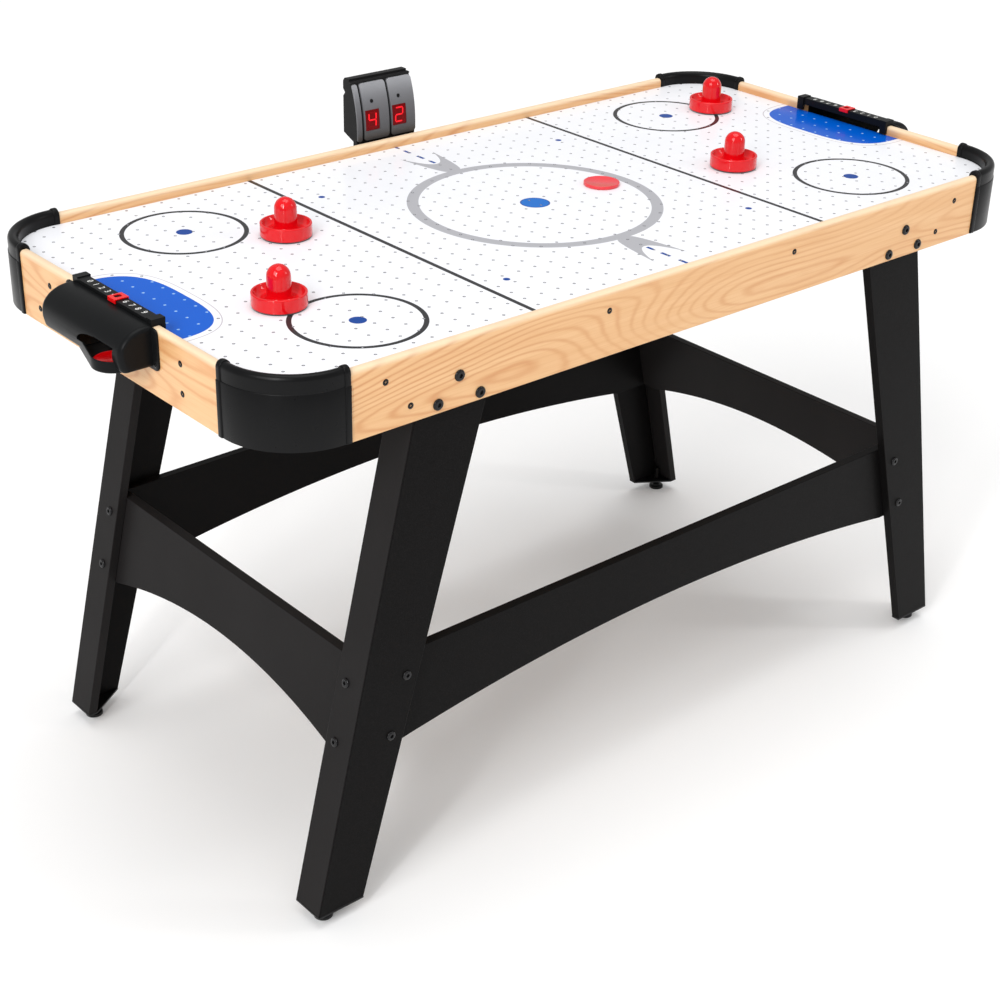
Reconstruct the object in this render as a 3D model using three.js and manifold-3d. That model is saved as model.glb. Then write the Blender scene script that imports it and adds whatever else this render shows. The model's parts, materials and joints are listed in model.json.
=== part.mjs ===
// Air hockey table on four splayed legs, with goal boxes, score bars, an electronic scoreboard,
// strikers, pucks and the blower that feeds the air chamber under the playing surface.
// Millimetres. +X along the table, +Y towards the scoreboard side, +Z up, floor at z = 0.
import * as THREE from 'three';
import { mergeVertices } from 'three/addons/utils/BufferGeometryUtils.js';
import Module from 'manifold-3d';

const wasm = await Module();
wasm.setup();

// ---------------------------------------------------------------- driving dimensions
// GAP is the clearance left between parts that touch in use.
const GAP = 0.3;
const LENGTH = 1473;
const WIDTH = 726;
const RAIL_TOP = 850;
const APRON_HEIGHT = 96;
const BOARD = 15;
const RAIL_ROUND = 6;
const FIELD_TOP = 835;
const FIELD_BOARD = 4.5;
const CHAMBER_DEPTH = 16;
const PANEL_BOARD = 3;
const FRAME_STRIP = 12;
const VENT = { width: 60, pitch: 120, sill: 5 };

const CAP_RADIUS = 105;
const CAP_END_X = 620;
const CAP_END_Y = 248;
const CAP_PROUD = 1.5;
const CAP_WALL = 2.8;
const CAP_RISE = 3;
const RIB_WIDTH = 9;
const RIB_PROUD = 1.6;
const TONGUE = { reachX: 518, reachY: 152, low: 762, high: 826, thick: 3 };

const LEG_TOP = 810;
const LEG_BOTTOM = 23.3;
const LEG_OUTER_AT_APRON = 511;
const LEG_INNER_AT_APRON = 391;
const LEG_DATUM = 742;
const LEG_OUTER_SLOPE = 0.2344;
const LEG_INNER_SLOPE = 0.2927;
const LEG_END_WIDTH = 56;
const FOOT_PLATE = { low: 20, high: 23, hole: 5.4 };
const LEVELLER = { x: 654, y: 322, pad: 14, stem: 5, top: 44 };
const STRETCHER = { top: 390, end: 250, middle: 292, shoulder: 70 };

const GOAL_HALF = 90;
const GOAL_FLOOR = 798;
const BAR = { half: 100, low: 846.5, top: 858, outer: 736.5, inner: 719, drop: 837 };
const HOOD = {
  half: 102, depth: 50, low: 794, top: 852.5, wall: 2.5, flange: 115, flangeThick: 3, endRound: 7,
};
const POCKET = { y: 59, half: 49, depth: 67, lip: 810 };
const BAR_BLOCK = 13;
const SLIDER = { y: 4, half: 9.5, thick: 1.6 };

const PUCK_RADIUS = 28.5;
const PUCK_THICK = 5;
const STRIKER_RADIUS = 38;
const STRIKER_HEIGHT = 58;
const FELT_THICK = 1.6;
const STRIKERS = [
  { name: 'striker_1', x: -386, y: 109 },
  { name: 'striker_2', x: -547, y: -107 },
  { name: 'striker_3', x: 589, y: 192 },
  { name: 'striker_4', x: 378, y: -60 },
];
const FIELD_PUCK = { x: 142, y: 2 };

// The scoreboard's front is upright at y = front near its foot and curls back by lean at its head.
const SCORER = {
  half: 60, low: 841, high: 945, front: 371, lean: 17, upright: 0.2, curl: 2.2,
  shell: 7, back: 412, rim: 2.5,
};
const RECESS = 3;
const PANELS = [[-60, -51], [-46.5, 5], [9.5, 59]];
const CIRCUIT_BOARD = { half: 50, low: 862, high: 938, thick: 1.6, y: 397 };
const WINDOW = { x: [-29, 26.5], z: 881, halfWidth: 14.4, halfHeight: 17 };
const BUTTON = { x: [-27.5, 27.5], z: 911.5, radius: 3 };

const BLOWER = { radius: 72, low: 755, wall: 2.5, inlet: 44, guard: 34, motor: 20, shaft: 3 };
const IMPELLER = { disc: 60, boss: 8, bladeIn: 38, bladeOut: 59, blades: 12 };
const POWER = { half: 24, depth: 26, y: 86, socketX: -11, socket: 5, bay: [1, 19], rocker: [1.6, 18.4] };

const CORNERS = [
  ['front_left', -1, -1], ['front_right', 1, -1], ['back_left', -1, 1], ['back_right', 1, 1],
];

const HALF_LENGTH = LENGTH / 2;
const HALF_WIDTH = WIDTH / 2;
const APRON_LOW = RAIL_TOP - APRON_HEIGHT;
const INNER_X = HALF_LENGTH - BOARD;
const INNER_Y = HALF_WIDTH - BOARD;
const CHAMBER_TOP = FIELD_TOP - FIELD_BOARD;
const PANEL_TOP = CHAMBER_TOP - CHAMBER_DEPTH;
const CENTRE_Y = (SCORER.back - HALF_WIDTH - CAP_PROUD - RIB_PROUD) / 2;

// ---------------------------------------------------------------- materials
const finish = (color, roughness, metalness = 0) =>
  new THREE.MeshStandardMaterial({ color, roughness, metalness });
const WOOD = finish(0xf0c898, 0.5);
const WHITE = finish(0xfafafc, 0.25);
const RAW_BOARD = finish(0xb08a60, 0.9);
const BLACK = finish(0x232326, 0.45);
const LEG_BLACK = finish(0x2b2828, 0.6);
const RED = finish(0xe01a2c, 0.18);
const PUCK_RED = finish(0xf04a50, 0.3);
const FELT = finish(0x1c1c1c, 0.95);
const GREY = finish(0x77787c, 0.4);
const DISPLAY = finish(0x7a0810, 0.2);
const CIRCUIT = finish(0x1f6a3a, 0.5);
const STEEL = finish(0x9a9a9c, 0.35, 0.9);

// ---------------------------------------------------------------- solids
const table = new THREE.Group();
table.position.y = -CENTRE_Y;

function solid(geometry) {
  const plain = geometry.index ? geometry.toNonIndexed() : geometry.clone();
  plain.deleteAttribute('normal');
  plain.deleteAttribute('uv');
  const merged = mergeVertices(plain, 1e-4);
  return new wasm.Manifold(new wasm.Mesh({
    numProp: 3,
    vertProperties: new Float32Array(merged.attributes.position.array),
    triVerts: new Uint32Array(merged.index.array),
  }));
}

function geometryOf(body) {
  const { vertProperties, triVerts } = body.getMesh();
  const geometry = new THREE.BufferGeometry();
  geometry.setAttribute('position', new THREE.BufferAttribute(vertProperties, 3));
  geometry.setIndex(new THREE.BufferAttribute(triVerts, 1));
  return geometry;
}

function addPart(name, shape, material) {
  const geometry = shape.isBufferGeometry ? shape : geometryOf(shape);
  const mesh = new THREE.Mesh(geometry, material);
  mesh.name = name;
  table.add(mesh);
}

// The +X +Y corner's body, mirrored into the corner with the given signs.
function inCorner(body, sx, sy) {
  let placed = body;
  if (sx < 0) placed = placed.mirror([1, 0, 0]);
  if (sy < 0) placed = placed.mirror([0, 1, 0]);
  return placed;
}

const joined = (bodies) => bodies.reduce((all, next) => all.add(next));

function box(x0, x1, y0, y1, z0, z1) {
  const geometry = new THREE.BoxGeometry(x1 - x0, y1 - y0, z1 - z0);
  return solid(geometry.translate((x0 + x1) / 2, (y0 + y1) / 2, (z0 + z1) / 2));
}

function polygon(points) {
  return new THREE.Shape(points.map(([a, b]) => new THREE.Vector2(a, b)));
}

function roundedRectangle(x0, x1, y0, y1, r) {
  const shape = new THREE.Shape();
  shape.absarc(x1 - r, y1 - r, r, 0, Math.PI / 2);
  shape.absarc(x0 + r, y1 - r, r, Math.PI / 2, Math.PI);
  shape.absarc(x0 + r, y0 + r, r, Math.PI, 1.5 * Math.PI);
  shape.absarc(x1 - r, y0 + r, r, 1.5 * Math.PI, 2 * Math.PI);
  return shape;
}

// An outline in X and Y, raised from z0 to z1.
function raised(shape, z0, z1, curveSegments = 8) {
  const settings = { depth: z1 - z0, bevelEnabled: false, curveSegments };
  return new THREE.ExtrudeGeometry(shape, settings).translate(0, 0, z0);
}

// An outline in Y and Z, drawn along X from x0 to x1.
function alongX(shape, x0, x1, options = {}) {
  const settings = { depth: x1 - x0, bevelEnabled: false, curveSegments: 6, ...options };
  const geometry = new THREE.ExtrudeGeometry(shape, settings);
  geometry.rotateX(Math.PI / 2).rotateZ(Math.PI / 2);
  return geometry.translate(x0, 0, 0);
}

// An outline in X and Z, drawn along Y from y0 to y1.
function alongY(shape, y0, y1, options = {}) {
  const settings = { depth: y1 - y0, bevelEnabled: false, curveSegments: 6, ...options };
  const geometry = new THREE.ExtrudeGeometry(shape, settings);
  return geometry.rotateX(Math.PI / 2).translate(0, y1, 0);
}

// A profile of [radius, z] points, turned about Z.
function turned(points, segments) {
  const profile = points.map(([r, z]) => new THREE.Vector2(r, z));
  return new THREE.LatheGeometry(profile, segments).rotateX(Math.PI / 2);
}

function cylinder(radius, x, y, z0, z1, segments = 20) {
  const points = [[0, z0], [radius, z0], [radius, z1], [0, z1]];
  return solid(turned(points, segments)).translate([x, y, 0]);
}

// A four-cornered column between a lower and an upper outline of [x, y] points.
function column(lower, upper, z0, z1) {
  const at = (points, z) => points.flatMap(([x, y]) => [x, y, z]);
  const position = new Float32Array([...at(lower, z0), ...at(upper, z1)]);
  const sides = [0, 1, 2, 3].flatMap((i) => {
    const j = (i + 1) % 4;
    return [i, j, j + 4, i, j + 4, i + 4];
  });
  const geometry = new THREE.BufferGeometry();
  geometry.setAttribute('position', new THREE.BufferAttribute(position, 3));
  geometry.setIndex([0, 2, 1, 0, 3, 2, 4, 5, 6, 4, 6, 7, ...sides]);
  return facingOut(geometry);
}

// The solid of a closed surface, turned inside out if its faces point inwards.
function facingOut(geometry) {
  const body = solid(geometry);
  if (body.volume() > 0) return body;
  const index = Array.from(geometry.index.array);
  for (let i = 0; i < index.length; i += 3) {
    [index[i], index[i + 1]] = [index[i + 1], index[i]];
  }
  geometry.setIndex(index);
  return solid(geometry);
}

// ---------------------------------------------------------------- playing surface and air chamber
function buildChamber() {
  const x = INNER_X - GAP;
  const y = INNER_Y - GAP;
  const field = roundedRectangle(-x, x, -y, y, CAP_RADIUS - BOARD);
  addPart('playfield', raised(field, CHAMBER_TOP, FIELD_TOP, 10), WHITE);

  // The panel and the frame stand in from the field's edge to clear the cap tongues.
  const px = x - TONGUE.thick - 1;
  const py = y - TONGUE.thick - 1;
  const corner = CAP_RADIUS - BOARD - 8;
  const sheet = (z0, z1) => solid(raised(roundedRectangle(-px, px, -py, py, corner), z0, z1));
  const panelLow = PANEL_TOP - PANEL_BOARD;
  const outlet = cylinder(BLOWER.radius - 10, 0, 0, panelLow - 1, PANEL_TOP + 1, 24);
  addPart('air_chamber_panel', sheet(panelLow, PANEL_TOP).subtract(outlet), RAW_BOARD);

  const strip = FRAME_STRIP;
  const low = PANEL_TOP + GAP;
  const high = CHAMBER_TOP - GAP;
  const bay = roundedRectangle(-px + strip, px - strip, -py + strip, py - strip, corner - strip);
  const ring = sheet(low, high).subtract(solid(raised(bay, low - 1, high + 1)));
  const ribs = [-LENGTH / 6, LENGTH / 6].map((rx) => {
    const rib = box(rx - strip / 2, rx + strip / 2, -py + strip - 1, py - strip + 1, low, high);
    const vents = [-2, -1, 0, 1, 2].map((k) => {
      const y0 = k * VENT.pitch - VENT.width / 2;
      return box(rx - strip, rx + strip, y0, y0 + VENT.width, low + VENT.sill, high + 1);
    });
    return rib.subtract(joined(vents));
  });
  addPart('air_chamber_frame', joined([ring, ...ribs]), RAW_BOARD);
}

// ---------------------------------------------------------------- aprons
// Board section across its thickness: outer face at 0, inner face at BOARD, rounded along the top.
function apronSection(outer, inward) {
  const r = RAIL_ROUND;
  const steps = 5;
  const points = [[outer, APRON_LOW], [outer + inward * BOARD, APRON_LOW]];
  [[BOARD - r, 0], [r, Math.PI / 2]].forEach(([centre, start]) => {
    for (let i = 0; i <= steps; i += 1) {
      const angle = start + (i / steps) * (Math.PI / 2);
      points.push([
        outer + inward * (centre + r * Math.cos(angle)),
        RAIL_TOP - r + r * Math.sin(angle),
      ]);
    }
  });
  return polygon(points);
}

function buildAprons() {
  const x = CAP_END_X - GAP;
  addPart('front_apron', alongX(apronSection(-HALF_WIDTH, 1), -x, x), WOOD);
  addPart('back_apron', alongX(apronSection(HALF_WIDTH, -1), -x, x), WOOD);
  const y = CAP_END_Y - GAP;
  [['left_end_apron', -1], ['right_end_apron', 1]].forEach(([name, side]) => {
    const board = solid(alongY(apronSection(side * HALF_LENGTH, -side), -y, y));
    const reach = HALF_LENGTH + 5;
    const mouth = box(-reach, reach, -GOAL_HALF, GOAL_HALF, GOAL_FLOOR, RAIL_TOP + 5);
    addPart(name, board.subtract(mouth), WOOD);
  });
}

// ---------------------------------------------------------------- corner caps
// Hooked wall section from the outer face inwards: u is the distance in from the outer face.
function capSection(proud, rise) {
  const wall = CAP_WALL;
  const crest = RAIL_TOP + CAP_RISE + rise;
  const depth = BOARD + CAP_PROUD + proud;
  const foot = FIELD_TOP + GAP;
  const low = APRON_LOW + 1;
  return [
    [-proud, low], [-proud, crest - 6], [3 - proud, crest - 1.5], [8, crest],
    [depth - 2, crest - 4], [depth, crest - 9], [depth, foot], [depth - 2.4, foot],
    [depth - 2.6, crest - 8.5], [7.5, crest - 3], [wall, crest - 8], [wall, low],
  ];
}

// A closed section carried through stations, each of which places a section point in space.
function swept(section, stations) {
  const points = section.map(([a, b]) => new THREE.Vector2(a, b));
  const faces = THREE.ShapeUtils.triangulateShape(points, []);
  const count = section.length;
  const last = (stations.length - 1) * count;
  const position = new Float32Array(stations.flatMap((place) => section.flatMap(place)));
  const index = faces.flatMap(([a, b, c]) => [a, c, b, last + a, last + b, last + c]);
  for (let s = 0; s < stations.length - 1; s += 1) {
    for (let i = 0; i < count; i += 1) {
      const j = (i + 1) % count;
      const [a, b] = [s * count + i, s * count + j];
      index.push(a, a + count, b, b, a + count, b + count);
    }
  }
  const geometry = new THREE.BufferGeometry();
  geometry.setAttribute('position', new THREE.BufferAttribute(position, 3));
  geometry.setIndex(index);
  return facingOut(geometry);
}

// The cap's wall from the end of its front run, round the corner, to the end of its side run.
function capWall(cx, cy) {
  const outer = CAP_RADIUS + CAP_PROUD;
  const stations = [([u, z]) => [CAP_END_X, cy + outer - u, z]];
  const steps = 11;
  for (let i = 0; i <= steps; i += 1) {
    const angle = (Math.PI / 2) * (1 - i / steps);
    const [c, s] = [Math.cos(angle), Math.sin(angle)];
    stations.push(([u, z]) => [cx + (outer - u) * c, cy + (outer - u) * s, z]);
  }
  stations.push(([u, z]) => [cx + outer - u, CAP_END_Y, z]);
  return swept(capSection(0, 0), stations);
}

function buildCornerCaps() {
  const cx = HALF_LENGTH - CAP_RADIUS;
  const cy = HALF_WIDTH - CAP_RADIUS;
  const shell = capWall(cx, cy);
  const outerX = HALF_LENGTH + CAP_PROUD;
  const outerY = HALF_WIDTH + CAP_PROUD;
  const rib = (outer) => polygon(capSection(RIB_PROUD, RIB_PROUD).map(([u, z]) => [outer - u, z]));
  const ribX = solid(alongX(rib(outerY), CAP_END_X, CAP_END_X + RIB_WIDTH));
  const ribY = solid(alongY(rib(outerX), CAP_END_Y, CAP_END_Y + RIB_WIDTH));
  const { reachX, reachY, low, high, thick } = TONGUE;
  const inX = INNER_X - GAP;
  const inY = INNER_Y - GAP;
  const tongueX = box(reachX, CAP_END_X + 6, inY - thick, inY, low, high);
  const tongueY = box(inX - thick, inX, reachY, CAP_END_Y + 6, low, high);
  const webX = box(CAP_END_X + 1, CAP_END_X + 4, inY - thick, outerY - 1, low, high);
  const webY = box(inX - thick, outerX - 1, CAP_END_Y + 1, CAP_END_Y + 4, low, high);
  const cap = joined([shell, ribX, ribY, tongueX, tongueY, webX, webY]);
  CORNERS.forEach(([corner, sx, sy]) => {
    addPart(`corner_cap_${corner}`, inCorner(cap, sx, sy), BLACK);
  });
}

// ---------------------------------------------------------------- legs and stretchers
const outerAt = (z) => LEG_OUTER_AT_APRON + (LEG_DATUM - z) * LEG_OUTER_SLOPE;
const innerAt = (z) => LEG_INNER_AT_APRON + (LEG_DATUM - z) * LEG_INNER_SLOPE;
const SLANTED_BOARD = BOARD * Math.hypot(1, LEG_OUTER_SLOPE);
const LEG_FACE = INNER_Y - GAP;
const MITRE_GAP = GAP * Math.SQRT2;

function legSideBoard() {
  const outline = (z) => [
    [outerAt(z), LEG_FACE], [innerAt(z), LEG_FACE],
    [innerAt(z), LEG_FACE - BOARD], [outerAt(z) - SLANTED_BOARD, LEG_FACE - BOARD],
  ];
  return column(outline(LEG_BOTTOM), outline(LEG_TOP), LEG_BOTTOM, LEG_TOP);
}

function legEndBoard() {
  const outline = (z) => [
    [outerAt(z), LEG_FACE - MITRE_GAP], [outerAt(z) - SLANTED_BOARD, LEG_FACE - BOARD - MITRE_GAP],
    [outerAt(z) - SLANTED_BOARD, LEG_FACE - LEG_END_WIDTH], [outerAt(z), LEG_FACE - LEG_END_WIDTH],
  ];
  return column(outline(LEG_BOTTOM), outline(LEG_TOP), LEG_BOTTOM, LEG_TOP);
}

function footPlate() {
  const z = FOOT_PLATE.high;
  const plate = polygon([
    [outerAt(z), LEG_FACE], [innerAt(z), LEG_FACE],
    [innerAt(z), LEG_FACE - BOARD], [outerAt(z) - SLANTED_BOARD, LEG_FACE - LEG_END_WIDTH],
    [outerAt(z), LEG_FACE - LEG_END_WIDTH],
  ]);
  const { low, high, hole } = FOOT_PLATE;
  const bore = cylinder(hole, LEVELLER.x, LEVELLER.y, low - 1, high + 1, 16);
  return solid(raised(plate, low, high)).subtract(bore);
}

function leveller() {
  const { pad, stem, top } = LEVELLER;
  const profile = [
    [0, 0], [pad - 1, 0], [pad, 1.5], [pad - 1, 5], [pad - 6, 8],
    [stem, 9], [stem, top - 1], [stem - 1, top], [0, top],
  ];
  return solid(turned(profile, 16)).translate([LEVELLER.x, LEVELLER.y, 0]);
}

// A stretcher's outline: straight top, arched underside, ends leaning in by slope.
function archedOutline(half, slope) {
  const { top, end, middle, shoulder } = STRETCHER;
  const topHalf = half - slope * (top - end);
  const reach = half - shoulder * Math.min(1, half / 500);
  const points = [[-topHalf, top], [-half, end]];
  const steps = 16;
  for (let i = 0; i <= steps; i += 1) {
    const t = -1 + (2 * i) / steps;
    points.push([t * reach, end + (middle - end) * (1 - t * t)]);
  }
  points.push([half, end], [topHalf, top]);
  return polygon(points);
}

function buildLegs() {
  const pieces = {
    side_board: [legSideBoard(), LEG_BLACK],
    end_board: [legEndBoard(), LEG_BLACK],
    foot_plate: [footPlate(), BLACK],
    leveller: [leveller(), BLACK],
  };
  CORNERS.forEach(([corner, sx, sy]) => {
    Object.entries(pieces).forEach(([piece, [body, material]]) => {
      addPart(`${corner}_leg_${piece}`, inCorner(body, sx, sy), material);
    });
  });
}

function buildStretchers() {
  const backY = LEG_FACE - BOARD - GAP;
  const half = outerAt(STRETCHER.end) - 2 * SLANTED_BOARD - 4 * GAP;
  const long = archedOutline(half, LEG_OUTER_SLOPE);
  addPart('front_stretcher', alongY(long, -backY, -backY + BOARD), LEG_BLACK);
  addPart('back_stretcher', alongY(long, backY - BOARD, backY), LEG_BLACK);

  const short = archedOutline(backY, 0);
  const inset = outerAt(0) - SLANTED_BOARD - 2 * GAP;
  const lean = new THREE.Matrix4().makeShear(0, 0, 0, 0, -LEG_OUTER_SLOPE, 0);
  const body = solid(alongX(short, inset - SLANTED_BOARD, inset).applyMatrix4(lean));
  addPart('right_stretcher', body, LEG_BLACK);
  addPart('left_stretcher', body.mirror([1, 0, 0]), LEG_BLACK);
}

// ---------------------------------------------------------------- goals
// Barrel section in [outward, z], from the apron face outwards.
function barrelSection(inset, back) {
  const low = HOOD.low + inset;
  const top = HOOD.top - inset;
  const depth = HOOD.depth - inset;
  const points = [[back, low], [depth - 8, low], [depth - 1, low + 10]];
  const steps = 10;
  const rise = top - (low + 24);
  for (let i = 0; i <= steps; i += 1) {
    const angle = (i / steps) * (Math.PI / 2);
    points.push([8 + (depth - 8) * Math.cos(angle), low + 24 + rise * Math.sin(angle)]);
  }
  points.push([back, top]);
  return points;
}

function pocketOutline(inset) {
  const half = POCKET.half - inset;
  const depth = POCKET.depth - inset;
  const start = HOOD.depth - 14;
  const points = [[2, -half]];
  const steps = 14;
  for (let i = 0; i <= steps; i += 1) {
    const angle = -Math.PI / 2 + (i / steps) * Math.PI;
    points.push([start + (depth - start) * Math.cos(angle), half * Math.sin(angle)]);
  }
  points.push([2, half]);
  return polygon(points.map(([x, y]) => [x, y - POCKET.y]));
}

// The hood of the goal at +X, with the apron's outer face as x = 0.
function goalHood() {
  const bevel = {
    bevelEnabled: true, bevelThickness: HOOD.endRound, bevelSize: 5, bevelOffset: -5, bevelSegments: 3,
  };
  const rim = HOOD.half - HOOD.endRound;
  const barrel = solid(alongY(polygon(barrelSection(0, GAP)), -rim, rim, bevel));
  const hollow = solid(alongY(polygon(barrelSection(HOOD.wall, -8)), -rim, rim));
  const plate = roundedRectangle(-HOOD.flange, HOOD.flange, HOOD.low - 1, HOOD.top - 2, 8);
  const flange = solid(alongX(plate, GAP, HOOD.flangeThick));
  const scoop = solid(raised(pocketOutline(0), HOOD.low, POCKET.lip));
  const scoopHollow = solid(raised(pocketOutline(HOOD.wall), HOOD.low + HOOD.wall, HOOD.top - 18));
  const behind = box(-20, GAP, -2 * HOOD.flange, 2 * HOOD.flange, 0, 2 * RAIL_TOP);
  const shell = joined([barrel, flange, scoop]).subtract(joined([hollow, scoopHollow, behind]));
  return shell.translate([HALF_LENGTH, 0, 0]);
}

function scoreBar() {
  const { half, low, top, outer, inner, drop } = BAR;
  const seatLow = RAIL_TOP + GAP;
  const bridge = box(inner, outer, -half, half, low, top);
  const blocks = [-1, 1].flatMap((end) => {
    const y0 = end > 0 ? half - BAR_BLOCK : -half;
    const y1 = y0 + BAR_BLOCK;
    return [
      box(inner - 3, outer, y0, y1, seatLow, top + 1.5),
      box(inner - 3, INNER_X - GAP, y0, y1, drop, seatLow + 1),
    ];
  });
  const rail = box(INNER_X - GAP, HALF_LENGTH + 2, GOAL_HALF - GAP, 2 * half, 0, seatLow);
  return joined([bridge, ...blocks]).subtract(rail.add(rail.mirror([0, 1, 0])));
}

function scoreSlider() {
  const { half, thick } = SLIDER;
  const high = BAR.top + GAP;
  const x0 = BAR.inner - GAP;
  const x1 = BAR.outer + GAP;
  const outer = box(x0 - thick, x1 + thick, -half, half, high - 4.5, high + thick);
  const inner = box(x0, x1, -half - 1, half + 1, 0, high);
  const window = box(x0 + 4, x1 - 4, -half + 3, half - 3, high - 1, high + 10);
  return outer.subtract(inner).subtract(window);
}

function puck() {
  const r = PUCK_RADIUS;
  const t = PUCK_THICK;
  return solid(turned([
    [0, 0], [r - 0.8, 0], [r, 0.8], [r, t - 0.8], [r - 0.8, t], [0, t],
  ], 28));
}

function buildGoals() {
  const hood = goalHood();
  const bar = scoreBar();
  const slider = scoreSlider();
  addPart('right_goal_hood', hood, BLACK);
  addPart('left_goal_hood', hood.mirror([1, 0, 0]), BLACK);
  addPart('right_score_bar', bar, BLACK);
  addPart('left_score_bar', bar.mirror([1, 0, 0]), BLACK);
  addPart('right_score_slider', slider.translate([0, -SLIDER.y, 0]), RED);
  addPart('left_score_slider', slider.mirror([1, 0, 0]).translate([0, -SLIDER.y, 0]), RED);
  addPart('field_puck', puck().translate([FIELD_PUCK.x, FIELD_PUCK.y, FIELD_TOP + GAP]), PUCK_RED);
  const caught = [-(HALF_LENGTH + POCKET.depth / 2), -POCKET.y, HOOD.low + HOOD.wall + GAP];
  addPart('goal_puck', puck().translate(caught), RED);
}

// ---------------------------------------------------------------- strikers
function strikerShell() {
  const r = STRIKER_RADIUS;
  const low = FELT_THICK + GAP;
  const knob = 16.5;
  const top = STRIKER_HEIGHT;
  const dome = (radius, height, from, to, count) => {
    const arc = [];
    for (let i = 0; i <= count; i += 1) {
      const angle = from + ((to - from) * i) / count;
      arc.push([radius * Math.cos(angle), height + radius * Math.sin(angle)]);
    }
    return arc;
  };
  const outer = [
    [r, low], [r, 19], [r - 2.5, 21.5], [r - 5, 19.5], [r - 7, 13],
    [knob + 4, 10.5], [knob, 14],
    ...dome(knob, top - knob, 0, Math.PI / 2, 5),
  ];
  const inner = [
    ...dome(knob - 2.5, top - knob, Math.PI / 2, 0, 3),
    [knob - 2.5, 10], [knob + 4, 8], [r - 8, 10], [r - 7.5, low],
  ];
  outer[outer.length - 1][0] = 0;
  inner[0][0] = 0;
  return solid(turned([...inner, ...outer], 22));
}

function buildStrikers() {
  const shell = strikerShell();
  const felt = cylinder(STRIKER_RADIUS - 0.6, 0, 0, 0, FELT_THICK, 22);
  STRIKERS.forEach(({ name, x, y }) => {
    addPart(`${name}_shell`, shell.translate([x, y, FIELD_TOP + GAP]), RED);
    addPart(`${name}_felt`, felt.translate([x, y, FIELD_TOP + GAP]), FELT);
  });
}

// ---------------------------------------------------------------- scoreboard
// y of the curled front at height z, set back by inset.
function facePoint(z, inset) {
  const t = (z - SCORER.low) / (SCORER.high - SCORER.low);
  const bend = Math.max(0, (t - SCORER.upright) / (1 - SCORER.upright));
  return SCORER.front + SCORER.lean * bend ** SCORER.curl + inset;
}

// Points down the front from z1 to z0, as [y, z].
function frontLine(z0, z1, inset, steps) {
  const points = [];
  for (let i = steps; i >= 0; i -= 1) {
    const z = z0 + ((z1 - z0) * i) / steps;
    points.push([facePoint(z, inset), z]);
  }
  return points;
}

function bowed(x0, x1, z0, z1, near, far) {
  const outline = [...frontLine(z0, z1, near, 10).reverse(), ...frontLine(z0, z1, far, 10)];
  return solid(alongX(polygon(outline), x0, x1));
}

function buttonRod(radius, y0, y1) {
  return solid(turned([[0, y0], [radius, y0], [radius, y1], [0, y1]], 16)).rotate([-90, 0, 0]);
}

function scoreboardFace() {
  const { half, low, high, shell, rim } = SCORER;
  const sheet = bowed(-half, half, low, high, RECESS, RECESS + 2);
  const rims = [
    bowed(-half, -half + rim, low, high, RECESS, shell),
    bowed(half - rim, half, low, high, RECESS, shell),
    bowed(-half, half, low, low + rim, RECESS, shell),
    bowed(-half, half, high - rim, high, 0, shell),
  ];
  const panels = PANELS.map(([x0, x1]) => bowed(x0, x1, low, high - 4, 0, RECESS + 1));
  const { halfWidth, halfHeight, z } = WINDOW;
  const front = SCORER.front - 10;
  const back = SCORER.back - 20;
  const window = box(-halfWidth, halfWidth, front, back, z - halfHeight, z + halfHeight);
  const button = buttonRod(BUTTON.radius + GAP, front, back).translate([0, 0, BUTTON.z]);
  const holes = [
    ...WINDOW.x.map((x) => window.translate([x, 0, 0])),
    ...BUTTON.x.map((x) => button.translate([x, 0, 0])),
  ];
  return joined([sheet, ...rims, ...panels]).subtract(joined(holes));
}

// Rear shell, open behind the face, on a neck that comes down onto the back apron.
function scoreboardHousing() {
  const { half, low, high, front, shell, back } = SCORER;
  const inset = shell + GAP;
  const top = high + 3;
  const apronFace = HALF_WIDTH + GAP;
  const body = solid(alongX(polygon([
    [apronFace, 780], [apronFace + 4, 780], [apronFace + 4, 818], [386, 834], [386, 846],
    [back, 857], [back, 918], [back - 5, 924], [back, 930],
    [back, 943], [back - 4, top], [facePoint(high, inset), top],
    ...frontLine(low, high, inset, 8), [front + inset, low - GAP],
    [front + 2, low - GAP], [front + 2, 832], [apronFace, 822],
  ]), -half + 1, half - 1));
  const cavity = solid(alongX(polygon([
    [388, 850], [back - 4, 860], [back - 8, 918], [back - 8, high - 2],
    [facePoint(high, inset) + 2, high - 2],
    ...frontLine(850, high - 2, inset - 1, 8),
  ]), -half + 4, half - 4));
  return body.subtract(cavity);
}

function buildScoreboard() {
  addPart('scoreboard_face', scoreboardFace(), GREY);
  addPart('scoreboard_housing', scoreboardHousing(), BLACK);
  const card = CIRCUIT_BOARD;
  const circuit = box(-card.half, card.half, card.y, card.y + card.thick, card.low, card.high);
  addPart('scoreboard_circuit_board', circuit, CIRCUIT);
  const halfWidth = WINDOW.halfWidth - GAP;
  const halfHeight = WINDOW.halfHeight - GAP;
  ['left', 'right'].forEach((name, i) => {
    const x = WINDOW.x[i];
    const glass = bowed(x - halfWidth, x + halfWidth,
      WINDOW.z - halfHeight, WINDOW.z + halfHeight, 0.8, 8);
    addPart(`${name}_score_display`, glass, DISPLAY);
    const rod = buttonRod(BUTTON.radius, facePoint(BUTTON.z, -1), card.y - 2);
    addPart(`${name}_score_button`, rod.translate([BUTTON.x[i], 0, BUTTON.z]), BLACK);
  });
}

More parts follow.
